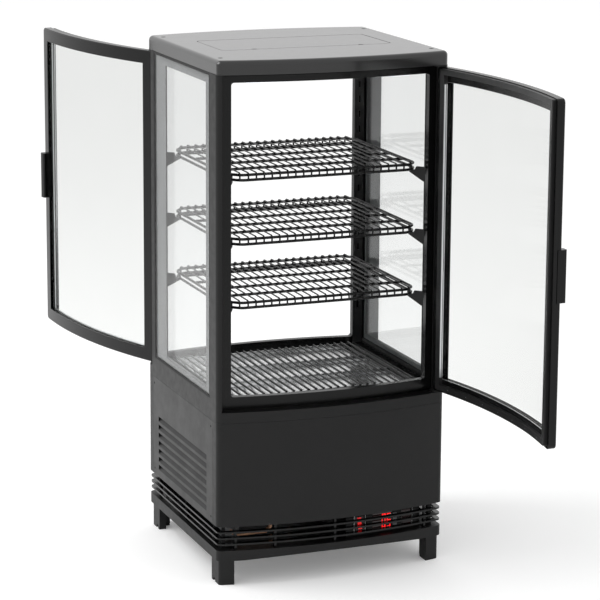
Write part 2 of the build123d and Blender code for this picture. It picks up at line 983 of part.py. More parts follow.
def door_panes(gap):
    """The two curved panes, grown by gap all round."""
    grip = door_rail - door_pane_grip
    window = front_window(
        door_free_x + grip - gap,
        door_hinge_x - grip + gap,
        door_bottom + grip - gap,
        door_top - grip + gap,
        0,
    )
    panes = []
    for inset in (door_pane_inset, door_pane_inset + door_pane + door_pane_space):
        panes.append(curved_wall(inset - gap, inset + door_pane + gap, door_bottom, door_top) & window)
    return group(panes)


def door_seal():
    """Soft seal on the door's inner face."""
    shell = curved_wall(door_thickness, door_thickness + seal_thickness, door_bottom, door_top)
    x_out = jamb_outer - seal_margin
    z_low = sill_top - seal_width - 2 * seal_margin - 1
    z_high = head_bottom + seal_width + seal_margin / 3
    outer = front_window(-x_out, x_out, z_low, z_high, seal_corner)
    inner = front_window(
        -x_out + seal_width, x_out - seal_width, z_low + seal_width, z_high - seal_width, 0
    )
    return (shell & outer) - inner


def door_handle():
    """Grip on the free edge: a bar with a finger scoop, lapped over the end of the frame."""
    x_end = door_free_x
    middle = (door_bottom + door_top) / 2
    face = face_y(x_end, 0)
    y_out = face - handle_reach
    low = middle - handle_height / 2
    high = middle + handle_height / 2
    bar = block(x_end - handle_lip, x_end + handle_width, y_out, face + 2, low, high)
    bar = fillet(bar.edges().filter_by(Axis.Z).group_by(Axis.Y)[0], 3.0)
    lap = block(x_end - handle_lip, x_end, face - 1, face + door_thickness / 2, low, high)
    scoop = Pos(x_end + handle_width, face - handle_scoop / 2, middle) * Cylinder(
        handle_scoop, handle_height - 4 * handle_lip
    )
    keep_out = curved_wall(0, door_thickness, low - 1, high + 1)
    keep_out &= block(x_end, half_width, -2 * front_reach, 0, low - 1, high + 1)
    return bar + lap - scoop - keep_out


def hinge_brackets():
    """Lower and upper hinge plates with their pins, for both doors."""
    x_out = pivot_x + pivot_from_edge - 1
    y_front = pivot_y - pivot_from_face + 1
    plan = Rectangle(bracket_width, bracket_depth)
    plan = chamfer(plan.vertices(), bracket_corner)
    plan = Pos(x_out - bracket_width / 2, y_front + bracket_depth / 2) * plan & outline(1.0)
    low_plate = Pos(0, 0, band_level) * extrude(plan, door_bottom_gap - seat_gap)
    low_pin = upright_cylinder(pivot_x, pivot_y, band_level, door_bottom + pin_length, pin_radius)
    high_sheet = door_top_gap - seat_gap
    high_plate = Pos(0, 0, lid_level - high_sheet) * extrude(plan, high_sheet)
    high_pin = upright_cylinder(pivot_x, pivot_y, door_top - pin_length, lid_level, pin_radius)
    front = [low_plate + low_pin, high_plate + high_pin]
    return group(front + [half_turn(piece) for piece in front])


# Machine compartment


def compressor():
    """Hermetic compressor: drawn shell with a domed top, weld rim, base plate and terminal cover."""
    radius = compressor_radius
    height = compressor_height
    drop = dome_radius
    dome = [(0, drop), (0.13, 0.5 * drop), (0.5, 0.13 * drop), (1, 0)]
    steps = [(0, 0)] + [(k, height - below) for k, below in dome]
    rings = [Pos(0, 0, z) * RegularPolygon(radius - k * drop, compressor_sides) for k, z in steps]
    shell = loft(rings, ruled=True)
    waist = height * 0.45
    shell += upright_prism(0, 0, waist, waist + weld_rim_height, radius + weld_rim_reach, compressor_sides)
    base = Rectangle(2 * radius, 2 * radius + 4 * mount_pad_radius)
    base = chamfer(base.vertices(), mount_pad_radius / 2)
    shell += Pos(0, 0, -mount_plate) * extrude(base, mount_plate)
    cover_low = waist - terminal_cover_height
    cover_half = terminal_cover_width / 2
    cover_out = radius + terminal_cover_reach
    shell += block(radius / 2, cover_out, -cover_half, cover_half, cover_low, waist)
    pads = []
    for sx in (-1, 1):
        for sy in (-1, 1):
            x = sx * (radius - 1.5 * mount_pad_radius)
            y = sy * (radius + mount_pad_radius)
            low = -mount_plate - mount_pad_height
            pads.append(upright_prism(x, y, low, -mount_plate, mount_pad_radius, 12))
    shell = shell.fuse(*pads)
    return Pos(compressor_x, compressor_y, plinth_top + mount_pad_height + mount_plate) * shell


def finned_coil(length, height, depth, grooves, rows, tube_radius):
    """A finned coil about its own middle: fins across X between end plates, hairpin bends outside."""
    core = Box(length - 2 * end_plate, depth - 2, height - 4)
    pitch = (length - 2 * end_plate) / (grooves + 1)
    cuts = []
    for i in range(grooves):
        x = -length / 2 + end_plate + pitch * (i + 1)
        for side in (-1, 1):
            cut = Box(pitch - coil_fin_sheet, 2 * coil_groove, height)
            cuts.append(Pos(x, side * (depth / 2 - 1), 0) * cut)
    core = core.cut(*cuts)
    for side in (-1, 1):
        core += Pos(side * (length - end_plate) / 2, 0, 0) * Box(end_plate, depth, height)
    row_pitch = height / rows
    bends = []
    for i in range(rows - 1):
        z = (i - (rows - 2) / 2) * row_pitch
        side = 1 if i % 2 == 0 else -1
        reach = row_pitch / 2
        half = length / 2 + reach
        start = (side * length / 2, 0, z - reach)
        corners = [(side * half, 0, z - reach), (side * half, 0, z + reach)]
        path = Polyline(start, *corners, (start[0], 0, z + reach))
        section = Plane(origin=start, z_dir=(side, 0, 0)) * flat_rod(tube_radius, 8)
        bends.append(sweep(section, path=path, transition=Transition.RIGHT))
    for side, z in ((-1, -(rows - 1) / 2 * row_pitch), (1 if rows % 2 else -1, (rows - 1) / 2 * row_pitch)):
        stub = extrude(Plane.YZ * flat_rod(tube_radius, 8), coil_stub / 2, both=True)
        bends.append(Pos(side * (length + coil_stub) / 2, 0, z) * stub)
    return core.fuse(*bends)


def condenser_coil():
    coil = finned_coil(
        coil_length, coil_height, coil_depth, coil_groove_count, coil_row_count, coil_tube_radius
    )
    level = plinth_top + coil_height / 2
    return Pos(-coil_x, 0, level) * Rot(0, 0, 90) * coil


def fan_rotor(diameter, hub, length, blades):
    """Axial rotor about the Z axis: a hub with cambered blades, trimmed to the tip circle."""
    body = upright_prism(0, 0, -length / 2, length / 2, hub, 4 * blades)
    tip = diameter / 2
    chord = diameter * blade_chord
    camber = chord * blade_camber
    curve = [(-chord / 2, 0), (-chord / 6, camber), (chord / 6, camber), (chord / 2, 0)]
    back = [(x, y - blade_sheet) for x, y in reversed(curve)]
    section = make_face(Polyline(curve + back, close=True))
    plane = Plane(origin=(hub / 2, 0, 0), x_dir=(0, 1, 0), z_dir=(1, 0, 0))
    blade = extrude(plane * (Rot(0, 0, blade_pitch) * section), tip)
    blade &= Cylinder(tip, diameter)
    vanes = [Rot(0, 0, 360 / blades * i) * blade for i in range(blades)]
    return body.fuse(*vanes)


def condenser_fan_rotor():
    rotor = fan_rotor(fan_diameter, hub_radius, hub_length, blade_count)
    bore = Cylinder(shaft_radius + running_gap, hub_length * 0.75)
    rotor -= Pos(0, 0, hub_length * 0.125) * bore
    return fan_place() * rotor


def fan_place():
    """Where the condenser fan sits: its axis along X, its motor towards the middle of the cabinet."""
    x = -coil_x + coil_depth / 2 + shroud_sheet + shroud_length / 2
    return Pos(x, 0, plinth_top + coil_height / 2) * Rot(0, 90, 0)


def condenser_fan_shroud():
    """Plate with a round collar, and three arms that carry the motor and its shaft."""
    plate = Box(coil_height, coil_length * shroud_share, shroud_sheet)
    plate = Pos(0, 0, -shroud_length / 2 - shroud_sheet / 2) * plate
    bore_radius = fan_diameter / 2 + fan_clearance
    half = shroud_length / 2
    collar = upright_prism(0, 0, -half, half, bore_radius + shroud_sheet, shroud_sides)
    bore = upright_prism(0, 0, -shroud_length, shroud_length, bore_radius, shroud_sides)
    shell = plate + collar - bore
    motor_low = shroud_length / 2 + motor_gap
    motor = upright_prism(0, 0, motor_low, motor_low + motor_length, motor_radius, motor_sides)
    shaft_length = hub_length * 0.6 + motor_gap + 2
    shaft = Pos(0, 0, motor_low + 1 - shaft_length / 2) * Cylinder(shaft_radius, shaft_length)
    arms = []
    for i in range(3):
        radial = Pos(bore_radius / 2 + motor_radius / 4, 0, motor_low + arm_width / 2) * Box(
            bore_radius - motor_radius / 2 + shroud_sheet, arm_width, arm_width
        )
        post = Pos(bore_radius + shroud_sheet / 2, 0, shroud_length / 2 + motor_gap / 2) * Box(
            shroud_sheet, arm_width, motor_gap + 2
        )
        arms.append(Rot(0, 0, 120 * i + 60) * (radial + post))
    return fan_place() * shell.fuse(motor, shaft, *arms)


def evaporator_place():
    low = band_level - tub_depth + tub_wall
    y = -tub_half_depth + tub_wall + evaporator_from_wall + evaporator_depth / 2
    return Pos(0, y, low + evaporator_height / 2)


def evaporator_coil():
    coil = finned_coil(
        evaporator_length,
        evaporator_height,
        evaporator_depth,
        evaporator_groove_count,
        evaporator_row_count,
        coil_tube_radius * 0.8,
    )
    return evaporator_place() * coil


def evaporator_fan_place():
    low = band_level - tub_depth + tub_wall
    y = tub_half_depth - tub_wall - evaporator_fan_from_wall
    return Pos(0, y, low + evaporator_motor_height + motor_gap + hub_length / 2)


def evaporator_fan_motor():
    """Small motor on the tub's floor, with an open bracket and a shaft for the rotor."""
    low = band_level - tub_depth + tub_wall
    y = tub_half_depth - tub_wall - evaporator_fan_from_wall
    motor = upright_prism(0, y, low, low + evaporator_motor_height, motor_radius, motor_sides)
    top = low + evaporator_motor_height + motor_gap + hub_length * 0.6
    shaft = upright_cylinder(0, y, low, top, shaft_radius)
    half_x = motor_foot_length / 2
    half_y = motor_foot_width / 2
    foot_plate = block(-half_x, half_x, y - half_y, y + half_y, low, low + mount_plate)
    return motor + shaft + foot_plate


def evaporator_fan_rotor():
    rotor = fan_rotor(2 * evaporator_fan_diameter, hub_radius * 0.7, hub_length * 0.8, blade_count)
    bore = Cylinder(shaft_radius + running_gap, hub_length * 0.8)
    rotor -= Pos(0, 0, -hub_length * 0.2) * bore
    return evaporator_fan_place() * rotor


def bent(route):
    """A route's points with each inner corner cut off, which is how a pipe's bends are drawn."""
    corners = [Vector(*point) for point in route]
    points = [corners[0]]
    for before, corner, after in zip(corners, corners[1:], corners[2:]):
        points.append(corner + (before - corner).normalized() * pipe_bend)
        points.append(corner + (after - corner).normalized() * pipe_bend)
    return points + [corners[-1]]


def refrigerant_pipes():
    """Suction, discharge and liquid pipes between compressor, condenser and tub."""
    low = plinth_top + mount_pad_height + mount_plate
    tub_bottom = band_level - tub_depth
    shell_x = compressor_x - compressor_radius
    shell_y = compressor_y + compressor_radius
    row_pitch = coil_height / coil_row_count
    top_row = plinth_top + coil_height - row_pitch / 2
    low_row = plinth_top + row_pitch / 2
    coil_end = coil_length / 2 + coil_stub + seam
    run_y = coil_end + pipe_clearance
    routes = [
        [
            (shell_x - seam, compressor_y, low + pipe_level),
            (shell_x - pipe_clearance, compressor_y, low + pipe_level),
            (shell_x - pipe_clearance, compressor_y, tub_bottom - seam),
        ],
        [
            (compressor_x, shell_y + seam, low + pipe_level),
            (compressor_x, run_y, low + pipe_level),
            (compressor_x, run_y, top_row),
            (-coil_x, run_y, top_row),
            (-coil_x, coil_end, top_row),
        ],
        [
            (-coil_x, -coil_end, low_row),
            (-coil_x, -run_y, low_row),
            (-coil_x + 3 * pipe_clearance, -run_y, low_row),
            (-coil_x + 3 * pipe_clearance, -run_y, tub_bottom - pipe_clearance),
            (-coil_x + 3 * pipe_clearance, -run_y + pipe_clearance, tub_bottom - pipe_clearance),
            (-coil_x + 3 * pipe_clearance, -run_y + pipe_clearance, tub_bottom - seam),
        ],
    ]
    pipes = []
    for route in routes:
        path = Polyline(*bent(route))
        section = Plane(origin=path @ 0, z_dir=path % 0) * flat_rod(pipe_radius, 8)
        pipes.append(sweep(section, path=path, transition=Transition.RIGHT))
    return group(pipes)


def electrical_box():
    """Terminal box on the tray, in front of the compressor, with a ribbed cover."""
    x0 = box_x
    y0 = -half_side + box_from_front
    low = plinth_top
    high = low + box_height
    body = block(x0, x0 + box_width, y0, y0 + box_depth, low, high)
    body = chamfer(body.edges().filter_by(Axis.Z), 2 * box_wall)
    half_rib = box_wall / 2
    pitch = box_width / (box_rib_count + 1)
    for i in range(box_rib_count):
        x = x0 + pitch * (i + 1)
        y1 = y0 + box_rib_margin
        y2 = y0 + box_depth - box_rib_margin
        body += block(x - half_rib, x + half_rib, y1, y2, high - half_rib, high + half_rib)
    return body


# Control panel


def control_place():
    """Middle of the control panel's face, behind the skirt's slats."""
    return on_front(control_centre, control_set_back, plinth_top + control_height / 2)


def key_places():
    """The three keys beside the display, on the panel."""
    x = controller_shift - display_shift + display_width / 2 + key_width
    return [(x, key_spacing), (x, 0), (x, -key_spacing)]


def display_window(gap, near, far):
    """A block over the display's place, grown by gap, between two depths."""
    middle = controller_shift - display_shift
    half_x = display_width / 2 + gap
    half_z = display_height / 2 + gap
    return block(middle - half_x, middle + half_x, near, far, -half_z, half_z)


def control_panel():
    """Plate with the controller's housing, its display window and two switch housings."""
    half_x = control_width / 2
    half_z = control_height / 2
    panel = block(-half_x, half_x, 0, control_sheet, -half_z, half_z)
    panel += block(-half_x, half_x, 0, control_foot, -half_z, -half_z + control_sheet)
    front_x = controller_width / 2
    front_z = controller_height / 2
    panel += block(
        controller_shift - front_x, controller_shift + front_x, -controller_bezel, 0, -front_z, front_z
    )
    back_x = front_x - controller_bezel
    back_z = front_z - controller_bezel
    panel += block(
        controller_shift - back_x, controller_shift + back_x, 0, controller_depth, -back_z, back_z
    )
    panel -= display_window(pane_gap, -controller_bezel - 1, -controller_bezel + display_sink + display_sheet)
    for x, z in key_places():
        half_key_x = key_width / 2 + seam
        half_key_z = key_height / 2 + seam
        depth = key_depth + key_travel + seam - controller_bezel
        panel -= block(
            x - half_key_x, x + half_key_x, -controller_bezel - 1, depth, z - half_key_z, z + half_key_z
        )
    well_x = rocker_width / 2 + seam
    well_z = rocker_height / 2 + seam
    for x in (-rocker_spacing, rocker_spacing):
        rim_x = well_x + switch_rim
        rim_z = well_z + switch_rim
        panel += block(x - rim_x, x + rim_x, -switch_bezel, switch_depth, -rim_z, rim_z)
        well_back = rocker_axle_depth + switch_well
        panel -= block(x - well_x, x + well_x, -switch_bezel - 1, well_back, -well_z, well_z)
        axle = Rot(0, 90, 0) * Cylinder(rocker_axle_radius, rocker_width + 2 * switch_rim)
        panel += Pos(x, rocker_axle_depth, 0) * axle
    return control_place() * panel


def controller_display():
    """Dark window of the controller."""
    face = -controller_bezel + display_sink
    return control_place() * display_window(0, face, face + display_sheet)


def rocker(x):
    """Rocker cap, tilted on its axle, its ends rounded about the axle and its face hollowed."""
    radius = rocker_height / 2 - seam
    front_y = -rocker_axle_depth - rocker_proud
    front_z = math.sqrt(radius**2 - front_y**2)
    back_z = math.sqrt(radius**2 - rocker_back**2)
    edges = [
        ThreePointArc((front_y, front_z), (front_y + rocker_hollow, 0), (front_y, -front_z)),
        ThreePointArc((front_y, -front_z), (0, -radius), (rocker_back, -back_z)),
        Line((rocker_back, -back_z), (rocker_back, back_z)),
        ThreePointArc((rocker_back, back_z), (0, radius), (front_y, front_z)),
    ]
    cap = extrude(Plane.YZ * make_face(edges), rocker_width / 2 - seam, both=True)
    cap -= Rot(0, 90, 0) * Cylinder(rocker_axle_radius + running_gap, rocker_width * 2)
    return control_place() * Pos(x, rocker_axle_depth, 0) * Rot(-rocker_tilt, 0, 0) * cap


def key(place):
    """One small push key."""
    x, z = place
    cap = block(
        x - key_width / 2,
        x + key_width / 2,
        -controller_bezel - key_proud,
        -controller_bezel + key_depth,
        z - key_height / 2,
        z + key_height / 2,
    )
    return control_place() * chamfer(cap.edges().filter_by(Axis.Y), key_corner)


def gland_place():
    """Where the gland sits, drawn on the front face before its half turn to the rear."""
    return on_front(-gland_x, 0, panel_bottom + gland_level) * Rot(90, 0, 0)


def rear_panel():
    """The front panel's twin, with a hole for the mains gland."""
    sleeve = upright_prism(0, 0, -4 * panel_sheet, 4 * panel_sheet, gland_sleeve + pane_gap, gland_sides)
    hole = gland_place() * sleeve
    return half_turn(front_panel() - hole)


def mains_gland():
    """Cable gland in the rear panel: hexagon, domed nut, sleeve, lock nut and bore."""
    hexagon = extrude(RegularPolygon(gland_radius, 6), gland_flange)
    nut_radius = gland_radius - 1.5
    shoulder = gland_flange + gland_length - gland_crown
    top = shoulder + gland_crown
    crown = [(gland_flange, nut_radius), (shoulder, nut_radius), (top, nut_radius - gland_crown)]
    rings = [Pos(0, 0, z) * RegularPolygon(radius, gland_sides) for z, radius in crown]
    nut = loft(rings, ruled=True)
    sleeve = upright_prism(0, 0, 1 - gland_length, 1, gland_sleeve, gland_sides)
    lock_nut = Pos(0, 0, -panel_sheet - pane_gap - gland_flange) * hexagon
    bore = upright_prism(0, 0, -4 * gland_length, 4 * gland_length, gland_bore, gland_sides)
    return half_turn(gland_place() * (hexagon + nut + sleeve + lock_nut - bore))


def build():
    """Every node's name and shape."""
    nodes = {}
    nodes["base_tray"] = base_tray()
    nodes["corner_feet"] = corner_feet()
    nodes["skirt_grille"] = skirt_grille()
    nodes["front_panel"] = front_panel()
    nodes["rear_panel"] = rear_panel()
    nodes["left_side_panel"] = left_side_panel()
    nodes["right_side_panel"] = half_turn(nodes["left_side_panel"])
    nodes["chassis_uprights"] = chassis_uprights()
    nodes["mid_band"] = mid_band()
    nodes["evaporator_tub"] = evaporator_tub()
    nodes["deck_plate"] = deck_plate()
    nodes["floor_grid"] = floor_grid()
    nodes["right_air_grille"] = air_grille()
    nodes["left_air_grille"] = half_turn(nodes["right_air_grille"])
    hinge_post = corner_post(True)
    free_post = across(corner_post(False))
    nodes["front_right_post"] = hinge_post
    nodes["rear_left_post"] = half_turn(hinge_post)
    nodes["front_left_post"] = free_post
    nodes["rear_right_post"] = half_turn(free_post)
    right_panes = [side_pane(outer_pane_x), side_pane(inner_pane_x)]
    nodes["side_panes"] = group(right_panes + [across(pane) for pane in right_panes])
    nodes["side_glass_gaskets"] = group([side_gasket(), across(side_gasket())])
    nodes["side_glass_spacers"] = group([side_spacer(), across(side_spacer())])
    nodes["front_door_seat"] = door_seat()
    nodes["rear_door_seat"] = half_turn(nodes["front_door_seat"])
    upright = shelf_upright()
    nodes["shelf_uprights"] = group([upright, across(upright), behind(upright), half_turn(upright)])
    clips = []
    for level in shelf_levels:
        clip = shelf_clip(level)
        clips += [clip, across(clip), behind(clip), half_turn(clip)]
    nodes["shelf_clips"] = group(clips)
    shelf = wire_shelf()
    for name, level in zip(("lower_shelf", "middle_shelf", "upper_shelf"), shelf_levels):
        nodes[name] = shelf.moved(Pos(0, 0, level))
    nodes["ceiling_panel"] = ceiling_panel()
    nodes["light_strips"] = light_strips()
    nodes["lid"] = lid()
    nodes["hatch"] = hatch()
    nodes["cover_screws"] = cover_screws()
    nodes["hinge_brackets"] = hinge_brackets()
    door_pieces = {
        "door_frame": door_frame(),
        "door_glass": door_panes(0),
        "door_seal": door_seal(),
        "door_handle": door_handle(),
    }
    for name, piece in door_pieces.items():
        nodes["front_" + name] = swing(piece, front_open_angle)
        nodes["rear_" + name] = half_turn(swing(piece, rear_open_angle))
    nodes["compressor"] = compressor()
    nodes["condenser_coil"] = condenser_coil()
    nodes["condenser_fan_shroud"] = condenser_fan_shroud()
    nodes["condenser_fan_rotor"] = condenser_fan_rotor()
    nodes["evaporator_coil"] = evaporator_coil()
    nodes["evaporator_fan_motor"] = evaporator_fan_motor()
    nodes["evaporator_fan_rotor"] = evaporator_fan_rotor()
    nodes["refrigerant_pipes"] = refrigerant_pipes()
    nodes["electrical_box"] = electrical_box()
    nodes["control_panel"] = control_panel()
    nodes["controller_display"] = controller_display()
    nodes["power_rocker"] = rocker(-rocker_spacing)
    nodes["light_rocker"] = rocker(rocker_spacing)
    for name, place in zip(("set_key", "up_key", "down_key"), key_places()):
        nodes[name] = key(place)
    nodes["mains_gland"] = mains_gland()
    return nodes


os.makedirs("parts", exist_ok=True)
for node_name, node_shape in build().items():
    export_step(node_shape, "parts/" + node_name + ".step")
    print(node_name, len(node_shape.solids()))
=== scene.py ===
"""Refrigerated display case, dressed for a studio picture. Metres, in the CAD model's own frame."""

import sys

import json
import logging
import math
from dataclasses import dataclass, field
from enum import Enum

import bmesh
import bpy
from mathutils import Matrix, Vector
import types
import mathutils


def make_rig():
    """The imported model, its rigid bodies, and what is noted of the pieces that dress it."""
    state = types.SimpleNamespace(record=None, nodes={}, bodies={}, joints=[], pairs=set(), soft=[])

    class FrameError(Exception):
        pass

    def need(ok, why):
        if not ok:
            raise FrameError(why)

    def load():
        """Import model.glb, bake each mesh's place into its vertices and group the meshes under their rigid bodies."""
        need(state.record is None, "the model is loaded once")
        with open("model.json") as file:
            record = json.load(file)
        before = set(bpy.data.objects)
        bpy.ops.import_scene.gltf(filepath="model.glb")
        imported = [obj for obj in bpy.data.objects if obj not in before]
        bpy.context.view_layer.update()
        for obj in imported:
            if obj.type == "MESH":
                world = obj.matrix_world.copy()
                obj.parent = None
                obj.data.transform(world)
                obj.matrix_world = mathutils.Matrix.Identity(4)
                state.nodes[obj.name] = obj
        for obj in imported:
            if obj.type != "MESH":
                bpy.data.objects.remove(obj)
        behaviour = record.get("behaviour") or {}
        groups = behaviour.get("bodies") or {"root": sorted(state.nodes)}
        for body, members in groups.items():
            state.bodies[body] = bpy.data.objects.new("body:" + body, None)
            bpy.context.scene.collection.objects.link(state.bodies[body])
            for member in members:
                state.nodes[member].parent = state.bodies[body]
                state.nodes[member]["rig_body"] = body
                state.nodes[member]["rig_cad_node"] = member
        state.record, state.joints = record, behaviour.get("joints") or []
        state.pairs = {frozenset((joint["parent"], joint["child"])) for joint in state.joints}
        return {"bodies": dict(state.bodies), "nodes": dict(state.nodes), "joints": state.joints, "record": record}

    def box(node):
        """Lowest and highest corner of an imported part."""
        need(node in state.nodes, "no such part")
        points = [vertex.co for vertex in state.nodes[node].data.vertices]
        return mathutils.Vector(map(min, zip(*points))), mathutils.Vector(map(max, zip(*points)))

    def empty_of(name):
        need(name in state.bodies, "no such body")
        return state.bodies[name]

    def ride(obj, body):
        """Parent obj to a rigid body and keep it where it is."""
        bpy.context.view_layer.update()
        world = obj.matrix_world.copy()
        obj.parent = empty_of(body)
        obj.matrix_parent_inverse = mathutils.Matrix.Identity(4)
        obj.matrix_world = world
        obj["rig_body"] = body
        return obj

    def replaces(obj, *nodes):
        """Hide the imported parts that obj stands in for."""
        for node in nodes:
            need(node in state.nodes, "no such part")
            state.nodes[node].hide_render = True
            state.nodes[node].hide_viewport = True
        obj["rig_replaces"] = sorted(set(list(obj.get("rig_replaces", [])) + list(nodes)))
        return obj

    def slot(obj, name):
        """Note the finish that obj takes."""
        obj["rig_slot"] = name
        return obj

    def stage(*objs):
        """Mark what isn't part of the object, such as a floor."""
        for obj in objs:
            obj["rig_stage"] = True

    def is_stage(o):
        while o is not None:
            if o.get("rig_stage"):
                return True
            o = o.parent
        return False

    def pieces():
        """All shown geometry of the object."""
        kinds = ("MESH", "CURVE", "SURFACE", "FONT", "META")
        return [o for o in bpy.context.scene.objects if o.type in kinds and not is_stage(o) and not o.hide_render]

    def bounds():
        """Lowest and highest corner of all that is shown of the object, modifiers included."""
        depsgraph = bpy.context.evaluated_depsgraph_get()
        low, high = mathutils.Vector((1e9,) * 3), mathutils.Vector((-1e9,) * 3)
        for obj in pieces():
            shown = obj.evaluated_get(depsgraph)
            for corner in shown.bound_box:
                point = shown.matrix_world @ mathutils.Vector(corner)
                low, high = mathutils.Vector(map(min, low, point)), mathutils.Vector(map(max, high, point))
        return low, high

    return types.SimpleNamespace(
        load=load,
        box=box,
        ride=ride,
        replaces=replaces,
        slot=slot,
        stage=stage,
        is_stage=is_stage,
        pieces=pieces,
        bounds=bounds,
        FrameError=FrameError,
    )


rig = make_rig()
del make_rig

log = logging.getLogger("display_case")

MM = 0.001
TONE_SCALE = 0.012
TONE_DETAIL = 4.0
SHEEN_SCALE = 0.05
SHEEN_DETAIL = 3.0
RELIEF_DETAIL = 5.0
NOISE_LOW = 0.3
NOISE_HIGH = 0.7
COAT_ROUGHNESS = 0.12
PANE_SHADOW = (0.93, 0.95, 0.94, 1.0)
MERGE_DISTANCE = 1e-6
ROD_SMOOTH_ANGLE = 60.0
SHELF_LEVELS = {"lower_shelf": 0.482, "middle_shelf": 0.594, "upper_shelf": 0.706}


class Grain(Enum):
    """Which surface pattern a finish has."""

    MOULDED = "moulded"
    POWDER = "powder"
    BRUSHED = "brushed"
    FINNED = "finned"
    POLISHED = "polished"


@dataclass(frozen=True)
class Finish:
    """How one surface looks: its colour, sheen and the small pattern in it."""

    name: str
    colour: tuple[float, float, float]
    roughness: float = 0.4
    metallic: float = 0.0
    coat: float = 0.0
    grain: Grain = Grain.MOULDED
    scale: float = 900.0
    relief: float = 0.00004
    blotch: float = 0.12
    spread: float = 0.08
    specular: float = 0.5
    transmission: float = 0.0
    ior: float = 1.5
    glow: float = 0.0
    direction: tuple[float, float, float] = (1.0, 1.0, 1.0)
    slot: str = ""

    def material(self) -> bpy.types.Material:
        """Gives the finish's material, made on first use.

        Returns:
            The material, with all its pattern from procedural nodes.
        """
        found = bpy.data.materials.get(self.name)
        if found:
            return found
        made = bpy.data.materials.new(self.name)
        made.use_nodes = True
        tree = made.node_tree
        shader = tree.nodes["Principled BSDF"]
        shader.inputs["Metallic"].default_value = self.metallic
        shader.inputs["IOR"].default_value = self.ior
        shader.inputs["Coat Weight"].default_value = self.coat
        shader.inputs["Coat Roughness"].default_value = COAT_ROUGHNESS
        shader.inputs["Specular IOR Level"].default_value = self.specular
        shader.inputs["Transmission Weight"].default_value = self.transmission
        if self.glow:
            shader.inputs["Emission Color"].default_value = (*self.colour, 1.0)
            shader.inputs["Emission Strength"].default_value = self.glow
        where = self._place(tree)
        self._tone(tree, where, shader)
        self._sheen(tree, where, shader)
        self._surface(tree, where, shader)
        if self.transmission:
            self._let_light_through(tree, shader)
        return made

    def _place(self, tree: bpy.types.NodeTree) -> bpy.types.NodeSocket:
        """Adds the coordinates that the pattern reads, stretched along the finish's direction."""
        coordinates = tree.nodes.new("ShaderNodeTexCoord")
        mapping = tree.nodes.new("ShaderNodeMapping")
        mapping.inputs["Scale"].default_value = self.direction
        tree.links.new(coordinates.outputs["Object"], mapping.inputs["Vector"])
        return mapping.outputs["Vector"]

    def _noise(
        self, tree: bpy.types.NodeTree, where: bpy.types.NodeSocket, scale: float, detail: float
    ) -> bpy.types.NodeSocket:
        """Adds a noise pattern and gives its value."""
        noise = tree.nodes.new("ShaderNodeTexNoise")
        noise.inputs["Scale"].default_value = scale
        noise.inputs["Detail"].default_value = detail
        tree.links.new(where, noise.inputs["Vector"])
        return noise.outputs["Fac"]

    def _range(
        self, tree: bpy.types.NodeTree, value: bpy.types.NodeSocket, low: float, high: float
    ) -> bpy.types.NodeSocket:
        """Adds a node that spreads a noise's middle part between two values."""
        spread = tree.nodes.new("ShaderNodeMapRange")
        spread.inputs["From Min"].default_value = NOISE_LOW
        spread.inputs["From Max"].default_value = NOISE_HIGH
        spread.inputs["To Min"].default_value = low
        spread.inputs["To Max"].default_value = high
        tree.links.new(value, spread.inputs["Value"])
        return spread.outputs["Result"]

    def _tone(self, tree: bpy.types.NodeTree, where: bpy.types.NodeSocket, shader: bpy.types.Node) -> None:
        """Varies the colour a little over the surface."""
        value = self._range(tree, self._noise(tree, where, self.scale * TONE_SCALE, TONE_DETAIL), 0.0, 1.0)
        mix = tree.nodes.new("ShaderNodeMix")
        mix.data_type = "RGBA"
        darker = [c * (1.0 - self.blotch) for c in self.colour]
        lighter = [min(1.0, c * (1.0 + self.blotch)) for c in self.colour]
        mix.inputs["A"].default_value = (*darker, 1.0)
        mix.inputs["B"].default_value = (*lighter, 1.0)
        tree.links.new(value, mix.inputs["Factor"])
        tree.links.new(mix.outputs["Result"], shader.inputs["Base Color"])

    def _sheen(self, tree: bpy.types.NodeTree, where: bpy.types.NodeSocket, shader: bpy.types.Node) -> None:
        """Varies the roughness, as handling and wiping do."""
        low = max(0.0, self.roughness - self.spread / 2)
        noise = self._noise(tree, where, self.scale * SHEEN_SCALE, SHEEN_DETAIL)
        value = self._range(tree, noise, low, low + self.spread)
        tree.links.new(value, shader.inputs["Roughness"])

    def _surface(
        self, tree: bpy.types.NodeTree, where: bpy.types.NodeSocket, shader: bpy.types.Node
    ) -> None:
        """Adds the fine relief of the finish's grain."""
        if self.relief == 0.0:
            return
        if self.grain is Grain.MOULDED:
            cells = tree.nodes.new("ShaderNodeTexVoronoi")
            cells.inputs["Scale"].default_value = self.scale
            tree.links.new(where, cells.inputs["Vector"])
            height = cells.outputs["Distance"]
        elif self.grain is Grain.FINNED:
            waves = tree.nodes.new("ShaderNodeTexWave")
            waves.inputs["Scale"].default_value = self.scale
            waves.bands_direction = "Y"
            tree.links.new(where, waves.inputs["Vector"])
            height = waves.outputs["Fac"]
        else:
            height = self._noise(tree, where, self.scale, RELIEF_DETAIL)
        bump = tree.nodes.new("ShaderNodeBump")
        bump.inputs["Distance"].default_value = self.relief
        bump.inputs["Strength"].default_value = 1.0
        tree.links.new(height, bump.inputs["Height"])
        tree.links.new(bump.outputs["Normal"], shader.inputs["Normal"])

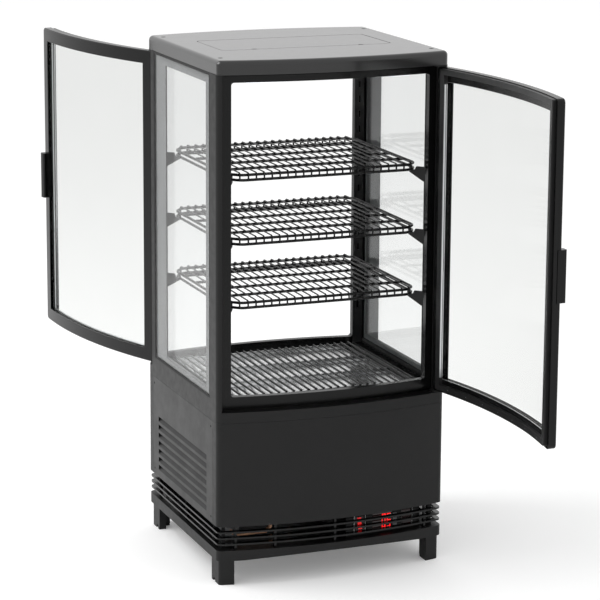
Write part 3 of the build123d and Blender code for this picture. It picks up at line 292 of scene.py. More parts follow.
    def _let_light_through(self, tree: bpy.types.NodeTree, shader: bpy.types.Node) -> None:
        """Lets light pass clear panes straight, so that they throw no dark shadow."""
        output = tree.nodes["Material Output"]
        path = tree.nodes.new("ShaderNodeLightPath")
        clear = tree.nodes.new("ShaderNodeBsdfTransparent")
        clear.inputs["Color"].default_value = PANE_SHADOW
        mix = tree.nodes.new("ShaderNodeMixShader")
        tree.links.new(path.outputs["Is Shadow Ray"], mix.inputs[0])
        tree.links.new(shader.outputs[0], mix.inputs[1])
        tree.links.new(clear.outputs[0], mix.inputs[2])
        tree.links.new(mix.outputs[0], output.inputs["Surface"])


BLACK_PLASTIC = Finish(
    "moulded_black_plastic",
    (0.0042, 0.0042, 0.0043),
    0.42,
    specular=0.3,
    scale=1400.0,
    relief=0.000006,
    slot="black_plastic",
)
LID_PLASTIC = Finish(
    "satin_lid_plastic",
    (0.0065, 0.0065, 0.0066),
    0.28,
    coat=0.65,
    specular=0.4,
    scale=1600.0,
    relief=0.0,
    blotch=0.05,
    spread=0.012,
    slot="black_plastic",
)
SIDE_PAINT = Finish(
    "powder_coated_black_sheet",
    (0.006, 0.006, 0.0062),
    0.4,
    specular=0.35,
    grain=Grain.POWDER,
    scale=700.0,
    relief=0.000012,
    slot="painted_side",
)
GLOSS_BLACK = Finish(
    "glossy_black_profile",
    (0.0035, 0.0035, 0.0036),
    0.22,
    specular=0.25,
    grain=Grain.POLISHED,
    scale=300.0,
    relief=0.000004,
    slot="gloss_black",
)
SEAL_RUBBER = Finish(
    "door_seal_rubber",
    (0.014, 0.014, 0.0142),
    0.36,
    specular=0.4,
    scale=2200.0,
    relief=0.00001,
    slot="door_seal_grey",
)
GLAZING_RUBBER = Finish(
    "glazing_rubber",
    (0.008, 0.008, 0.0082),
    0.48,
    specular=0.3,
    scale=2000.0,
    relief=0.00001,
    slot="glazing_rubber",
)
CLEAR_GLASS = Finish(
    "clear_side_glass",
    (0.955, 0.962, 0.958),
    0.008,
    spread=0.008,
    blotch=0.004,
    relief=0.0,
    transmission=1.0,
    ior=1.17,
    slot="clear_glass",
)
DOOR_GLASS = Finish(
    "clear_door_glass",
    (0.975, 0.98, 0.974),
    0.006,
    spread=0.006,
    blotch=0.003,
    relief=0.0,
    transmission=1.0,
    ior=1.035,
    slot="clear_glass",
)
BRIGHT_FLOOR = Finish(
    "polished_steel_floor",
    (0.9, 0.905, 0.91),
    0.2,
    metallic=1.0,
    grain=Grain.BRUSHED,
    scale=600.0,
    relief=0.000004,
    blotch=0.04,
    direction=(1, 0.04, 1),
    slot="bright_floor",
)
COATED_WIRE = Finish(
    "black_coated_wire",
    (0.0045, 0.0045, 0.0046),
    0.3,
    specular=0.3,
    grain=Grain.POWDER,
    scale=1200.0,
    relief=0.00001,
    slot="steel_wire",
)
COATED_STRIP = Finish(
    "black_coated_steel_strip",
    (0.006, 0.006, 0.0062),
    0.36,
    specular=0.3,
    grain=Grain.POWDER,
    scale=1100.0,
    relief=0.00001,
    slot="steel_strip",
)
TUB_LINER = Finish(
    "tub_liner_plastic",
    (0.32, 0.325, 0.33),
    0.5,
    scale=800.0,
    relief=0.00001,
    slot="tub_liner",
)
DIFFUSER = Finish(
    "opal_light_diffuser",
    (0.93, 0.95, 1.0),
    0.5,
    glow=0.9,
    scale=1500.0,
    relief=0.00001,
    slot="light_diffuser",
)
DARK_SCREW = Finish(
    "dark_screw_cap",
    (0.003, 0.003, 0.003),
    0.8,
    specular=0.05,
    scale=1800.0,
    relief=0.00001,
    slot="dark_screws",
)
COMPRESSOR_PAINT = Finish(
    "compressor_enamel",
    (0.012, 0.012, 0.013),
    0.3,
    grain=Grain.POWDER,
    scale=350.0,
    relief=0.00004,
    slot="compressor_paint",
)
COIL_FINS = Finish(
    "aluminium_coil_fins",
    (0.42, 0.43, 0.44),
    0.35,
    metallic=1.0,
    grain=Grain.FINNED,
    scale=400.0,
    relief=0.0004,
    slot="coil_fins",
)
FAN_PLASTIC = Finish(
    "fan_plastic",
    (0.015, 0.015, 0.016),
    0.45,
    scale=900.0,
    relief=0.00001,
    slot="fan_plastic",
)
COPPER = Finish(
    "copper_pipe",
    (0.72, 0.36, 0.2),
    0.3,
    metallic=1.0,
    grain=Grain.BRUSHED,
    scale=300.0,
    relief=0.00001,
    blotch=0.25,
    spread=0.2,
    slot="copper_pipe",
)
GREY_BOX = Finish(
    "grey_terminal_box",
    (0.03, 0.03, 0.031),
    0.5,
    scale=1000.0,
    relief=0.00001,
    slot="box_grey",
)
CONTROL_BLACK = Finish(
    "control_panel_black",
    (0.004, 0.004, 0.0042),
    0.36,
    specular=0.3,
    scale=1500.0,
    relief=0.00001,
    slot="control_black",
)
DISPLAY = Finish(
    "display_window",
    (0.02, 0.0015, 0.0015),
    0.08,
    coat=0.3,
    grain=Grain.POLISHED,
    relief=0.0,
    slot="display_red",
)
LIT_ROCKER = Finish(
    "lit_red_rocker",
    (0.75, 0.01, 0.01),
    0.3,
    glow=0.6,
    grain=Grain.POLISHED,
    relief=0.0,
    slot="rocker_red",
)
DARK_ROCKER = Finish(
    "unlit_rocker",
    (0.02, 0.003, 0.003),
    0.25,
    grain=Grain.POLISHED,
    relief=0.0,
    slot="rocker_red",
)
KEY_GREY = Finish("soft_key_grey", (0.16, 0.16, 0.165), 0.5, scale=1500.0, relief=0.00001, slot="key_grey")
LIT_DIGIT = Finish("lit_red_digit", (0.9, 0.01, 0.01), 0.4, glow=1.0, relief=0.0, slot="display_red")
PALE_MARK = Finish("pale_switch_mark", (0.5, 0.5, 0.5), 0.5, relief=0.0, slot="key_grey")
RIVET_STEEL = Finish(
    "rivet_steel",
    (0.5, 0.51, 0.52),
    0.3,
    metallic=1.0,
    grain=Grain.BRUSHED,
    scale=900.0,
    relief=0.00001,
    slot="steel_strip",
)
# Bright metal of the glazing bead; the same finish also gives the seal's bright strips, which are painted highlight
# lines.
BEAD_LINE = Finish(
    "bright_glazing_bead",
    (0.78, 0.79, 0.8),
    0.3,
    metallic=1.0,
    grain=Grain.BRUSHED,
    relief=0.00001,
    direction=(1, 1, 0.1),
    slot="bright_spacer",
)
SKIRT_GLOSS = Finish(
    "glossy_skirt_plastic",
    (0.0018, 0.0018, 0.0019),
    0.16,
    specular=0.35,
    grain=Grain.POLISHED,
    scale=300.0,
    relief=0.0,
    slot="black_plastic",
)
BORDER_GREY = Finish(
    "grey_pane_border",
    (0.15, 0.152, 0.155),
    0.5,
    specular=0.3,
    scale=1500.0,
    relief=0.0,
    spread=0.04,
    blotch=0.05,
    slot="bright_spacer",
)
STEEL_BAR = Finish(
    "bright_rack_bar",
    (0.7, 0.705, 0.71),
    0.22,
    metallic=1.0,
    grain=Grain.BRUSHED,
    scale=600.0,
    relief=0.00001,
    slot="steel_wire",
)
NODE_FINISHES = {
    "lid": LID_PLASTIC,
    "hatch": LID_PLASTIC,
    "front_door_glass": DOOR_GLASS,
    "rear_door_glass": DOOR_GLASS,
    "light_rocker": DARK_ROCKER,
    "power_rocker": DARK_ROCKER,
    "side_glass_spacers": BORDER_GREY,
    "skirt_grille": SKIRT_GLOSS,
}


def finish_list() -> list[Finish]:
    """Gives every finish that a CAD slot can have, the first of each slot being the slot's own."""
    return [value for value in globals().values() if isinstance(value, Finish)]


def slot_finish(slot: str) -> Finish:
    """Gives the finish of a material slot of the record."""
    return next(finish for finish in finish_list() if finish.slot == slot)


def place(
    bm: bmesh.types.BMesh, name: str, finish: Finish, body: str, smooth: float = 35.0
) -> bpy.types.Object:
    """Makes a finished piece of a mesh and lets it ride on its body.

    Args:
        bm: The mesh, in place; it is freed.
        name: The piece's name.
        finish: Its finish.
        body: The CAD body that carries it.
        smooth: The angle in degrees up to which edges are shaded smooth.

    Returns:
        The new object.
    """
    bmesh.ops.remove_doubles(bm, verts=bm.verts, dist=MERGE_DISTANCE)
    bmesh.ops.recalc_face_normals(bm, faces=bm.faces)
    for edge in bm.edges:
        edge.smooth = len(edge.link_faces) == 2 and edge.calc_face_angle(0.0) < math.radians(smooth)
    for face in bm.faces:
        face.smooth = True
    mesh = bpy.data.meshes.new(name)
    bm.to_mesh(mesh)
    bm.free()
    piece = bpy.data.objects.new(name, mesh)
    piece.data.materials.append(finish.material())
    bpy.context.scene.collection.objects.link(piece)
    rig.ride(piece, body)
    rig.slot(piece, finish.slot)
    return piece


def rod(bm: bmesh.types.BMesh, points: list[Vector], radius: float, sides: int = 10) -> None:
    """Adds a rod along a line of points, round up to its first bend.

    Each bend turns the section by half of its angle, so past a bend the rod is flatter than round.

    Args:
        bm: The mesh that gets the rod.
        points: The line's points, at least two.
        radius: The rod's radius.
        sides: How many sides the rod has.
    """
    first = (points[1] - points[0]).normalized()
    turn = Vector((0, 0, 1)).rotation_difference(first).to_matrix().to_4x4()
    start = Matrix.Translation(points[0]) @ turn
    made = bmesh.ops.create_circle(bm, cap_ends=True, radius=radius, segments=sides, matrix=start)
    face = next(f for f in made["verts"][0].link_faces if all(v in made["verts"] for v in f.verts))
    ring = list(face.verts)
    side = points[0]
    for i in range(1, len(points)):
        around = {edge for vert in ring for edge in vert.link_edges}
        rim = [edge for edge in around if all(vert in ring for vert in edge.verts)]
        grown = bmesh.ops.extrude_edge_only(bm, edges=rim)
        ring = [v for v in grown["geom"] if isinstance(v, bmesh.types.BMVert)]
        bmesh.ops.translate(bm, verts=ring, vec=points[i] - side)
        side = points[i]
        if i + 1 < len(points):
            before = (points[i] - points[i - 1]).normalized()
            after = (points[i + 1] - points[i]).normalized()
            bend = before.rotation_difference(after)
            half = Matrix.Rotation(bend.angle / 2, 3, bend.axis)
            bmesh.ops.rotate(bm, verts=ring, cent=side, matrix=half)
    bmesh.ops.contextual_create(bm, geom=ring)


def rounded(points: list[Vector], radius: float, steps: int = 4) -> list[Vector]:
    """Gives a line's points with its inner corners rounded.

    Args:
        points: The line's corners.
        radius: How far from a corner the bend starts.
        steps: How many runs the bend has.

    Returns:
        The rounded line's points.
    """
    line = [points[0]]
    for before, corner, after in zip(points, points[1:], points[2:]):
        start = corner + (before - corner).normalized() * radius
        end = corner + (after - corner).normalized() * radius
        for i in range(steps + 1):
            t = i / steps
            line.append(start * (1 - t) ** 2 + corner * 2 * t * (1 - t) + end * t**2)
    return line + [points[-1]]


def slab(
    bm: bmesh.types.BMesh, low: Vector, high: Vector, matrix: Matrix = Matrix.Identity(4), bevel: float = 0.0
) -> None:
    """Adds a block between two corners, with soft edges where a bevel is given.

    Args:
        bm: The mesh that gets the block.
        low: Its lowest corner.
        high: Its highest corner.
        matrix: Where the block's own frame stands.
        bevel: The width of its bevelled edges.
    """
    size = high - low
    local = Matrix.Translation((low + high) / 2) @ Matrix.Diagonal((*size, 1.0))
    made = bmesh.ops.create_cube(bm, size=1.0, matrix=matrix @ local)
    if bevel:
        edges = list({e for v in made["verts"] for e in v.link_edges})
        bmesh.ops.bevel(bm, geom=edges, offset=bevel, segments=2, profile=0.5, affect="EDGES", material=-1)


@dataclass
class Outline:
    """The cabinet's curved front and rear faces, and the doors' swing, as the CAD model has them."""

    half_width: float = 214.0 * MM
    half_side: float = 188.0 * MM
    bulge: float = 25.0 * MM
    pivot_from_edge: float = 8.0 * MM
    pivot_from_face: float = 6.0 * MM
    front_angle: float = 92.3
    rear_angle: float = 101.7

    @property
    def radius(self) -> float:
        """The curved face's radius."""
        return (self.half_width**2 + self.bulge**2) / (2 * self.bulge)

    def face_y(self, x: float, inset: float = 0.0) -> float:
        """Gives the front face's y at x, for the outline moved in by inset."""
        centre = self.radius - self.half_side - self.bulge
        return centre - math.sqrt((self.radius - inset) ** 2 - x**2)

    def swing(self, rear: bool) -> Matrix:
        """Gives the matrix that opens a closed front door, and for the rear one carries it there."""
        x = self.half_width - self.pivot_from_edge
        pivot = Vector((x, self.face_y(x, self.pivot_from_face), 0.0))
        angle = math.radians(self.rear_angle if rear else self.front_angle)
        opened = Matrix.Translation(pivot) @ Matrix.Rotation(angle, 4, "Z") @ Matrix.Translation(-pivot)
        return Matrix.Rotation(math.pi, 4, "Z") @ opened if rear else opened


@dataclass
class CadDress:
    """The CAD nodes that stay: their smooth shading and their finishes."""

    nodes: dict[str, bpy.types.Object]
    slots: dict[str, str]
    weld_distance: float = 0.00001
    sharp_angle: float = 28.0
    flat_weight: int = 80

    def dress(self) -> None:
        """Gives every CAD node its slot's finish and a shading that keeps arcs smooth and edges sharp."""
        for name, piece in self.nodes.items():
            finish = NODE_FINISHES.get(name) or slot_finish(self.slots[name])
            piece.data.materials.clear()
            piece.data.materials.append(finish.material())
            piece.data.polygons.foreach_set("use_smooth", [True] * len(piece.data.polygons))
            weld = piece.modifiers.new("weld", "WELD")
            weld.merge_threshold = self.weld_distance
            split = piece.modifiers.new("sharp edges", "EDGE_SPLIT")
            split.split_angle = math.radians(self.sharp_angle)
            split.use_edge_sharp = False
            flat = piece.modifiers.new("flat faces", "WEIGHTED_NORMAL")
            flat.weight = self.flat_weight
            flat.keep_sharp = False


@dataclass
class Shelf:
    """One wire shelf: two rods round its edge, wires laid over them, and cross wires."""

    name: str
    level: float
    half_width: float = 174.0 * MM
    half_depth: float = 150.0 * MM
    chamfer: float = 18.0 * MM
    ring_radius: float = 2.5 * MM
    ring_spacing: float = 9.0 * MM
    wire_radius: float = 1.6 * MM
    wire_pitch: float = 14.5 * MM
    wire_count: int = 23
    cross_count: int = 4
    seat: float = 0.3 * MM
    ring_sides: int = 12
    wire_sides: int = 8
    bend: float = 3.0

    def build(self) -> bmesh.types.BMesh:
        """Makes the shelf's mesh from bent rods."""
        bm = bmesh.new()
        low = self.level + self.seat + self.ring_radius
        high = low + self.ring_spacing
        for z in (low, high):
            self._ring(bm, z)
        top = high + self.ring_radius + self.wire_radius
        for i in range(self.wire_count):
            x = (i - (self.wire_count - 1) / 2) * self.wire_pitch
            trim = max(0.0, abs(x) - self.half_width + self.chamfer)
            end = self.half_depth + self.ring_radius + self.wire_radius - trim
            corners = [Vector((x, y, z)) for y, z in ((-end, low), (-end, top), (end, top), (end, low))]
            rod(bm, rounded(corners, self.bend * self.wire_radius), self.wire_radius, self.wire_sides)
        for i in range(self.cross_count):
            y = (i - (self.cross_count - 1) / 2) * (2 * self.half_depth / (self.cross_count + 1))
            reach = self.half_width - self.ring_radius
            rod(bm, [Vector((-reach, y, high)), Vector((reach, y, high))], self.ring_radius, self.ring_sides)
        return bm

    def _ring(self, bm: bmesh.types.BMesh, z: float) -> None:
        """Adds the rod that runs round the shelf's eight-sided outline."""
        x, y, c = self.half_width, self.half_depth, self.chamfer
        half = [(x - c, -y), (x, -y + c), (x, y - c), (x - c, y)]
        corners = [Vector((0, -y, z))] + [Vector((px, py, z)) for px, py in half]
        corners += [Vector((-px, -py, z)) for px, py in half] + [Vector((0, -y, z))]
        rod(bm, rounded(corners, self.bend * self.ring_radius), self.ring_radius, self.ring_sides)

    def dress(self) -> None:
        """Puts the shelf in place of its CAD node."""
        piece = place(self.build(), f"{self.name}_wires", COATED_WIRE, f"{self.name}_body", ROD_SMOOTH_ANGLE)
        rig.replaces(piece, self.name)


@dataclass
class FloorRack:
    """The rods that lie front to back over the bright floor, and the bars that carry them."""

    level: float = 317.0 * MM
    rod_top: float = 329.0 * MM
    bar_width: float = 3.0 * MM
    bar_count: int = 4
    rod_radius: float = 1.9 * MM
    rod_pitch: float = 14.0 * MM
    rod_count: int = 25
    half_depth: float = 147.0 * MM
    rod_sides: int = 12
    bar_bevel: float = 0.3 * MM

    def bars(self) -> bmesh.types.BMesh:
        """Makes the flat bars that carry the rods."""
        bm = bmesh.new()
        half_bar = (self.rod_count - 1) * self.rod_pitch / 2 + self.rod_radius
        top = self.rod_top - 2 * self.rod_radius
        overlap = self.rod_radius / 3
        for i in range(self.bar_count):
            span = 2 * self.half_depth - 2 * self.rod_radius
            y = -self.half_depth + self.rod_radius + span * i / (self.bar_count - 1)
            low = Vector((-half_bar, y - self.bar_width / 2, self.level))
            high = Vector((half_bar, y + self.bar_width / 2, top + overlap))
            slab(bm, low, high, bevel=self.bar_bevel)
        return bm

    def rods(self) -> bmesh.types.BMesh:
        """Makes the straight rods."""
        bm = bmesh.new()
        for i in range(self.rod_count):
            x = (i - (self.rod_count - 1) / 2) * self.rod_pitch
            z = self.rod_top - self.rod_radius
            ends = [Vector((x, -self.half_depth, z)), Vector((x, self.half_depth, z))]
            rod(bm, ends, self.rod_radius, self.rod_sides)
        return bm

    def dress(self) -> None:
        """Puts the rack in place of its CAD node."""
        piece = place(self.rods(), "floor_rack_rods", COATED_WIRE, "cabinet", ROD_SMOOTH_ANGLE)
        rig.replaces(piece, "floor_grid")
        place(self.bars(), "floor_rack_bars", STEEL_BAR, "cabinet")


@dataclass
class DoorTrim:
    """The small parts of one door: its rivets, the bead round its glass and the bright strips in its seal, which are
    painted highlight lines.
    """

    outline: Outline
    rear: bool
    thickness: float = 14.0 * MM
    seal: float = 7.4 * MM
    low: float = 314.5 * MM
    high: float = 893.0 * MM
    free_x: float = -203.0 * MM
    hinge_x: float = 213.0 * MM
    rail: float = 24.0 * MM
    rivet_radius: float = 1.3 * MM
    rivet_count: int = 7
    rivet_level: float = 325.0 * MM
    strip_x: float = 185.3 * MM
    bead: float = 1.3 * MM
    lip: float = 0.8 * MM
    rivet_reach: float = 160.0 * MM
    rivet_sink: float = 0.45 * MM
    rivet_flatness: float = 0.5
    strip_depths: tuple[tuple[float, float], ...] = ((14.8 * MM, 15.9 * MM), (17.3 * MM, 20.2 * MM))
    strip_margin: float = 4.0 * MM
    half_strip: float = 0.3 * MM
    bead_inset: float = 1.6 * MM
    bead_overlap: float = 0.6 * MM
    bead_steps: int = 24
    bead_sides: int = 8

    @property
    def prefix(self) -> str:
        """Which door this is."""
        return "rear_door" if self.rear else "front_door"

    def rivets(self) -> bmesh.types.BMesh:
        """Makes the domed rivets along the seal's lower run."""
        bm = bmesh.new()
        depth = self.thickness + self.seal - self.rivet_sink
        half = self.rivet_reach
        for i in range(self.rivet_count):
            x = -half + 2 * half * i / (self.rivet_count - 1)
            y = self.outline.face_y(x, depth)
            made = bmesh.ops.create_uvsphere(bm, u_segments=12, v_segments=8, radius=self.rivet_radius)
            bmesh.ops.scale(bm, verts=made["verts"], vec=(1, self.rivet_flatness, 1))
            bmesh.ops.translate(bm, verts=made["verts"], vec=(x, y, self.rivet_level))
        bmesh.ops.transform(bm, verts=bm.verts, matrix=self.outline.swing(self.rear))
        return bm

    def seal_strips(self) -> bmesh.types.BMesh:
        """Makes the bright strips on the seal's inner walls, beside the glass: painted highlight lines where the
        frame's edges show reflected light.
        """
        bm = bmesh.new()
        # Each bright slab paints a highlight line on the seal's inner wall.
        for near, far in self.strip_depths:
            y0, y1 = (self.outline.face_y(self.strip_x, depth) for depth in (near, far))
            for side in (-1, 1):
                x = side * self.strip_x
                low = Vector((x - self.half_strip, y0, self.low + self.rail + self.strip_margin))
                high = Vector((x + self.half_strip, y1, self.high - self.rail - self.strip_margin))
                slab(bm, low, high)
        bmesh.ops.transform(bm, verts=bm.verts, matrix=self.outline.swing(self.rear))
        return bm

    def glazing_bead(self) -> bmesh.types.BMesh:
        """Makes the thin bright bead that holds the inner pane, just inside the frame's window."""
        bm = bmesh.new()
        depth = self.thickness - self.bead_inset
        x0, x1 = self.free_x + self.rail - self.bead_overlap, self.hinge_x - self.rail + self.bead_overlap
        z0, z1 = self.low + self.rail - self.bead_overlap, self.high - self.rail + self.bead_overlap
        steps = self.bead_steps
        for z in (z0, z1):
            xs = [x0 + (x1 - x0) * i / steps for i in range(steps + 1)]
            rod(bm, [Vector((x, self.outline.face_y(x, depth), z)) for x in xs], self.bead, self.bead_sides)
        for x in (x0, x1):
            y = self.outline.face_y(x, depth)
            rod(bm, [Vector((x, y, z0)), Vector((x, y, z1))], self.bead, self.bead_sides)
        y = self.outline.face_y(x1, depth + self.bead + self.lip)
        rod(bm, [Vector((x1, y, z0)), Vector((x1, y, z1))], self.lip, self.bead_sides)
        bmesh.ops.transform(bm, verts=bm.verts, matrix=self.outline.swing(self.rear))
        return bm

    def dress(self) -> None:
        """Puts the rivets, the bead and the bright strips of painted highlight on the door."""
        place(self.rivets(), f"{self.prefix}_rivets", RIVET_STEEL, self.prefix)
        place(self.glazing_bead(), f"{self.prefix}_glazing_bead", BEAD_LINE, self.prefix, ROD_SMOOTH_ANGLE)
        # The seal's bright strips are painted highlight lines, not a part of the door.
        place(self.seal_strips(), f"{self.prefix}_seal_strips", BEAD_LINE, self.prefix)


@dataclass
class Controls:
    """What shows through the skirt's slots: the display, the switches' marks and the lit lens."""

    outline: Outline
    centre_x: float = 100.0 * MM
    set_back: float = 22.0 * MM
    level: float = 84.7 * MM
    face: float = 2.5 * MM
    window_low: tuple[float, float] = (-23.0 * MM, -15.0 * MM)
    window_high: tuple[float, float] = (17.0 * MM, 15.0 * MM)
    digit_height: float = 25.0 * MM
    digit_width: float = 7.6 * MM
    digit_gap: float = 2.6 * MM
    digit_middle: float = 5.0 * MM
    stroke: float = 1.9 * MM
    reading: str = "05"
    switch_x: float = 48.0 * MM
    rim_x: float = 11.35 * MM
    rim_z: float = 15.3 * MM
    lens_width: float = 7.6 * MM
    lens_height: float = 20.0 * MM
    face_radius: float = 58.4 * MM
    face_out: float = 5.95 * MM
    axle_depth: float = 5.0 * MM
    rest_tilt: float = 12.0
    cover_front: float = 0.5 * MM
    cover_back: float = 1.9 * MM
    cover_bevel: float = 0.3 * MM
    figure_front: float = 0.6 * MM
    figure_back: float = 0.4 * MM
    mark_front: float = 1.7 * MM
    mark_back: float = 1.45 * MM
    mark_edges: tuple[tuple[int, float], ...] = ((-1, 0.9 * MM), (1, 0.45 * MM))
    mark_foot: float = 0.8 * MM
    lens_thickness: float = 0.3 * MM
    segments: dict[str, str] = field(default_factory=lambda: {"0": "abcdef", "5": "afgcd"})

    def frame(self) -> Matrix:
        """Gives the matrix of the panel's face: X along it, Y straight in, Z up."""
        radius = self.outline.radius - self.set_back
        y = self.outline.face_y(self.centre_x, self.set_back)
        turn = math.asin(self.centre_x / radius)
        return Matrix.Translation((self.centre_x, y, self.level)) @ Matrix.Rotation(turn, 4, "Z")

    def window(self) -> bmesh.types.BMesh:
        """Makes the dark window over the lit figures, set on the controller's bezel."""
        bm = bmesh.new()
        low = Vector((self.window_low[0], -self.face - self.cover_front, self.window_low[1]))
        high = Vector((self.window_high[0], -self.face + self.cover_back, self.window_high[1]))
        slab(bm, low, high, self.frame(), self.cover_bevel)
        return bm

    def digits(self) -> bmesh.types.BMesh:
        """Makes the lit strokes of a two-figure temperature on the display."""
        bm = bmesh.new()
        w, h, s = self.digit_width, self.digit_height, self.stroke
        strokes = {
            "a": ((0, h - s), (w, h)),
            "g": ((0, h / 2 - s / 2), (w, h / 2 + s / 2)),
            "d": ((0, 0), (w, s)),
            "f": ((0, h / 2), (s, h)),
            "b": ((w - s, h / 2), (w, h)),
            "e": ((0, 0), (s, h / 2)),
            "c": ((w - s, 0), (w, h / 2)),
        }
        start = self.digit_middle - self.digit_width - self.digit_gap / 2
        for i, figure in enumerate(self.reading):
            x = start + i * (self.digit_width + self.digit_gap)
            for part in self.segments[figure]:
                (x0, z0), (x1, z1) = strokes[part]
                low = Vector((x + x0, -self.face - self.figure_front, z0 - h / 2))
                high = Vector((x + x1, -self.face - self.figure_back, z1 - h / 2))
                slab(bm, low, high, self.frame())
        return bm

    def marks(self) -> bmesh.types.BMesh:
        """Makes the pale rims beside and under the switches."""
        bm = bmesh.new()
        for side in (-1, 1):
            middle = side * self.switch_x
            for edge, half in self.mark_edges:
                x = middle + edge * self.rim_x
                low = Vector((x - half, -self.mark_front, -self.rim_z))
                slab(bm, low, Vector((x + half, -self.mark_back, self.rim_z)), self.frame())
            low = Vector((middle - self.rim_x, -self.mark_front, -self.rim_z - self.mark_foot))
            high = Vector((middle + self.rim_x, -self.mark_back, -self.rim_z + self.mark_foot))
            slab(bm, low, high, self.frame())
        return bm

    def lens(self) -> bmesh.types.BMesh:
        """Makes the lit strip in the power rocker's hollow face, whose two sides lie together."""
        bm = bmesh.new()
        made = bmesh.ops.create_grid(bm, x_segments=1, y_segments=12, size=0.5)
        for vert in made["verts"]:
            z = vert.co.y * self.lens_height
            sink = self.face_radius - math.sqrt(self.face_radius**2 - z**2)
            vert.co = (vert.co.x * self.lens_width, -self.face_out - sink, z)
        bmesh.ops.solidify(bm, geom=bm.faces[:], thickness=self.lens_thickness)
        pivot = Matrix.Translation((-self.switch_x, self.axle_depth, 0.0))
        tilt = Matrix.Rotation(math.radians(-self.rest_tilt), 4, "X")
        bmesh.ops.transform(bm, verts=bm.verts, matrix=self.frame() @ pivot @ tilt)
        return bm

    def dress(self) -> None:
        """Puts the display, the marks and the lens on the panel."""
        window = place(self.window(), "display_cover", DISPLAY, "cabinet")
        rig.replaces(window, "controller_display")
        place(self.digits(), "display_digits", LIT_DIGIT, "cabinet")
        place(self.marks(), "switch_marks", PALE_MARK, "cabinet")
        place(self.lens(), "power_lens", LIT_ROCKER, "power_switch")


@dataclass
class SmallHardware:
    """Crosses on the lid's screws, and the side panels' rivets."""

    outline: Outline
    lid_top: float = 921.0 * MM
    cap_x: float = 195.0 * MM
    cap_y: float = 151.0 * MM
    cross_sink: float = 0.3 * MM
    cross_reach: float = 2.2 * MM
    cross_half_width: float = 0.35 * MM
    cross_height: float = 0.28 * MM
    cross_bevel: float = 0.08 * MM
    rivet_y: float = 155.0 * MM
    rivet_levels: tuple[float, float] = (118.0 * MM, 281.0 * MM)
    rivet_radius: float = 2.2 * MM
    rivet_flatness: float = 0.25
    rivet_sink: float = 0.2 * MM

    def lid_caps(self) -> bmesh.types.BMesh:
        """Makes the crosses on the lid's screws."""
        bm = bmesh.new()
        for x in (-self.cap_x, self.cap_x):
            for y in (-self.cap_y, self.cap_y):
                where = Matrix.Translation((x, y, self.lid_top - self.cross_sink))
                for turn in (0.0, math.pi / 2):
                    arm = where @ Matrix.Rotation(turn, 4, "Z")
                    low = Vector((-self.cross_reach, -self.cross_half_width, 0.0))
                    high = Vector((self.cross_reach, self.cross_half_width, self.cross_height))
                    slab(bm, low, high, arm, self.cross_bevel)
        return bm

    def panel_rivets(self) -> bmesh.types.BMesh:
        """Makes the low domed rivets near both ends of the two side panels."""
        bm = bmesh.new()
        for side in (-1, 1):
            for y in (-self.rivet_y, self.rivet_y):
                for z in self.rivet_levels:
                    made = bmesh.ops.create_uvsphere(
                        bm, u_segments=14, v_segments=8, radius=self.rivet_radius
                    )
                    bmesh.ops.scale(bm, verts=made["verts"], vec=(self.rivet_flatness, 1, 1))
                    x = side * self.outline.half_width - side * self.rivet_sink
                    bmesh.ops.translate(bm, verts=made["verts"], vec=(x, y, z))
        return bm

    def dress(self) -> None:
        """Puts the hardware on the cabinet."""
        place(self.lid_caps(), "lid_cap_crosses", DARK_SCREW, "cabinet")
        place(self.panel_rivets(), "side_panel_rivets", DARK_SCREW, "cabinet")


@dataclass
class HatchCover:
    """The lid's hatch with its upper edge chamfered, so that its seam shows."""

    node: bpy.types.Object
    chamfer: float = 1.4 * MM
    flat_angle: float = 1.0
    level_tolerance: float = 0.00001

    def build(self) -> bmesh.types.BMesh:
        """Makes the cover from the CAD hatch, whose upper outline gets a chamfer."""
        bm = bmesh.new()
        bm.from_mesh(self.node.data)
        bmesh.ops.remove_doubles(bm, verts=bm.verts, dist=MERGE_DISTANCE)
        limit = math.radians(self.flat_angle)
        bmesh.ops.dissolve_limit(bm, angle_limit=limit, verts=bm.verts, edges=bm.edges)
        top = max(vert.co.z for vert in bm.verts)
        rim = [e for e in bm.edges if all(top - v.co.z < self.level_tolerance for v in e.verts)]
        bmesh.ops.bevel(
            bm, geom=rim, offset=self.chamfer, segments=1, profile=0.5, affect="EDGES", material=-1
        )
        return bm

    def dress(self) -> None:
        """Puts the cover in place of its CAD node."""
        piece = place(self.build(), "hatch_cover", LID_PLASTIC, "hatch_body")
        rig.replaces(piece, "hatch")


@dataclass
class PaneBorders:
    """The grey border inside the upper and upright edges of the side glass."""

    top_height: float = 15.0 * MM
    front_width: float = 24.0 * MM
    rear_width: float = 54.0 * MM
    thickness: float = 0.4 * MM
    inset: float = 0.1 * MM

    def build(self) -> bmesh.types.BMesh:
        """Makes the borders of both sides, just behind the outer panes."""
        bm = bmesh.new()
        low, high = (Vector(corner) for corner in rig.box("side_glass_spacers"))
        x0, x1 = low.x + self.inset, low.x + self.inset + self.thickness
        slab(bm, Vector((x0, low.y, high.z - self.top_height)), Vector((x1, high.y, high.z)))
        upper = high.z - self.top_height
        slab(bm, Vector((x0, low.y, low.z)), Vector((x1, low.y + self.front_width, upper)))
        slab(bm, Vector((x0, high.y - self.rear_width, low.z)), Vector((x1, high.y, upper)))
        bmesh.ops.mirror(bm, geom=bm.verts[:] + bm.edges[:] + bm.faces[:], axis="X", merge_dist=-1.0)
        return bm

    def dress(self) -> None:
        """Puts the borders in the cabinet."""
        place(self.build(), "side_glass_borders", BORDER_GREY, "cabinet")


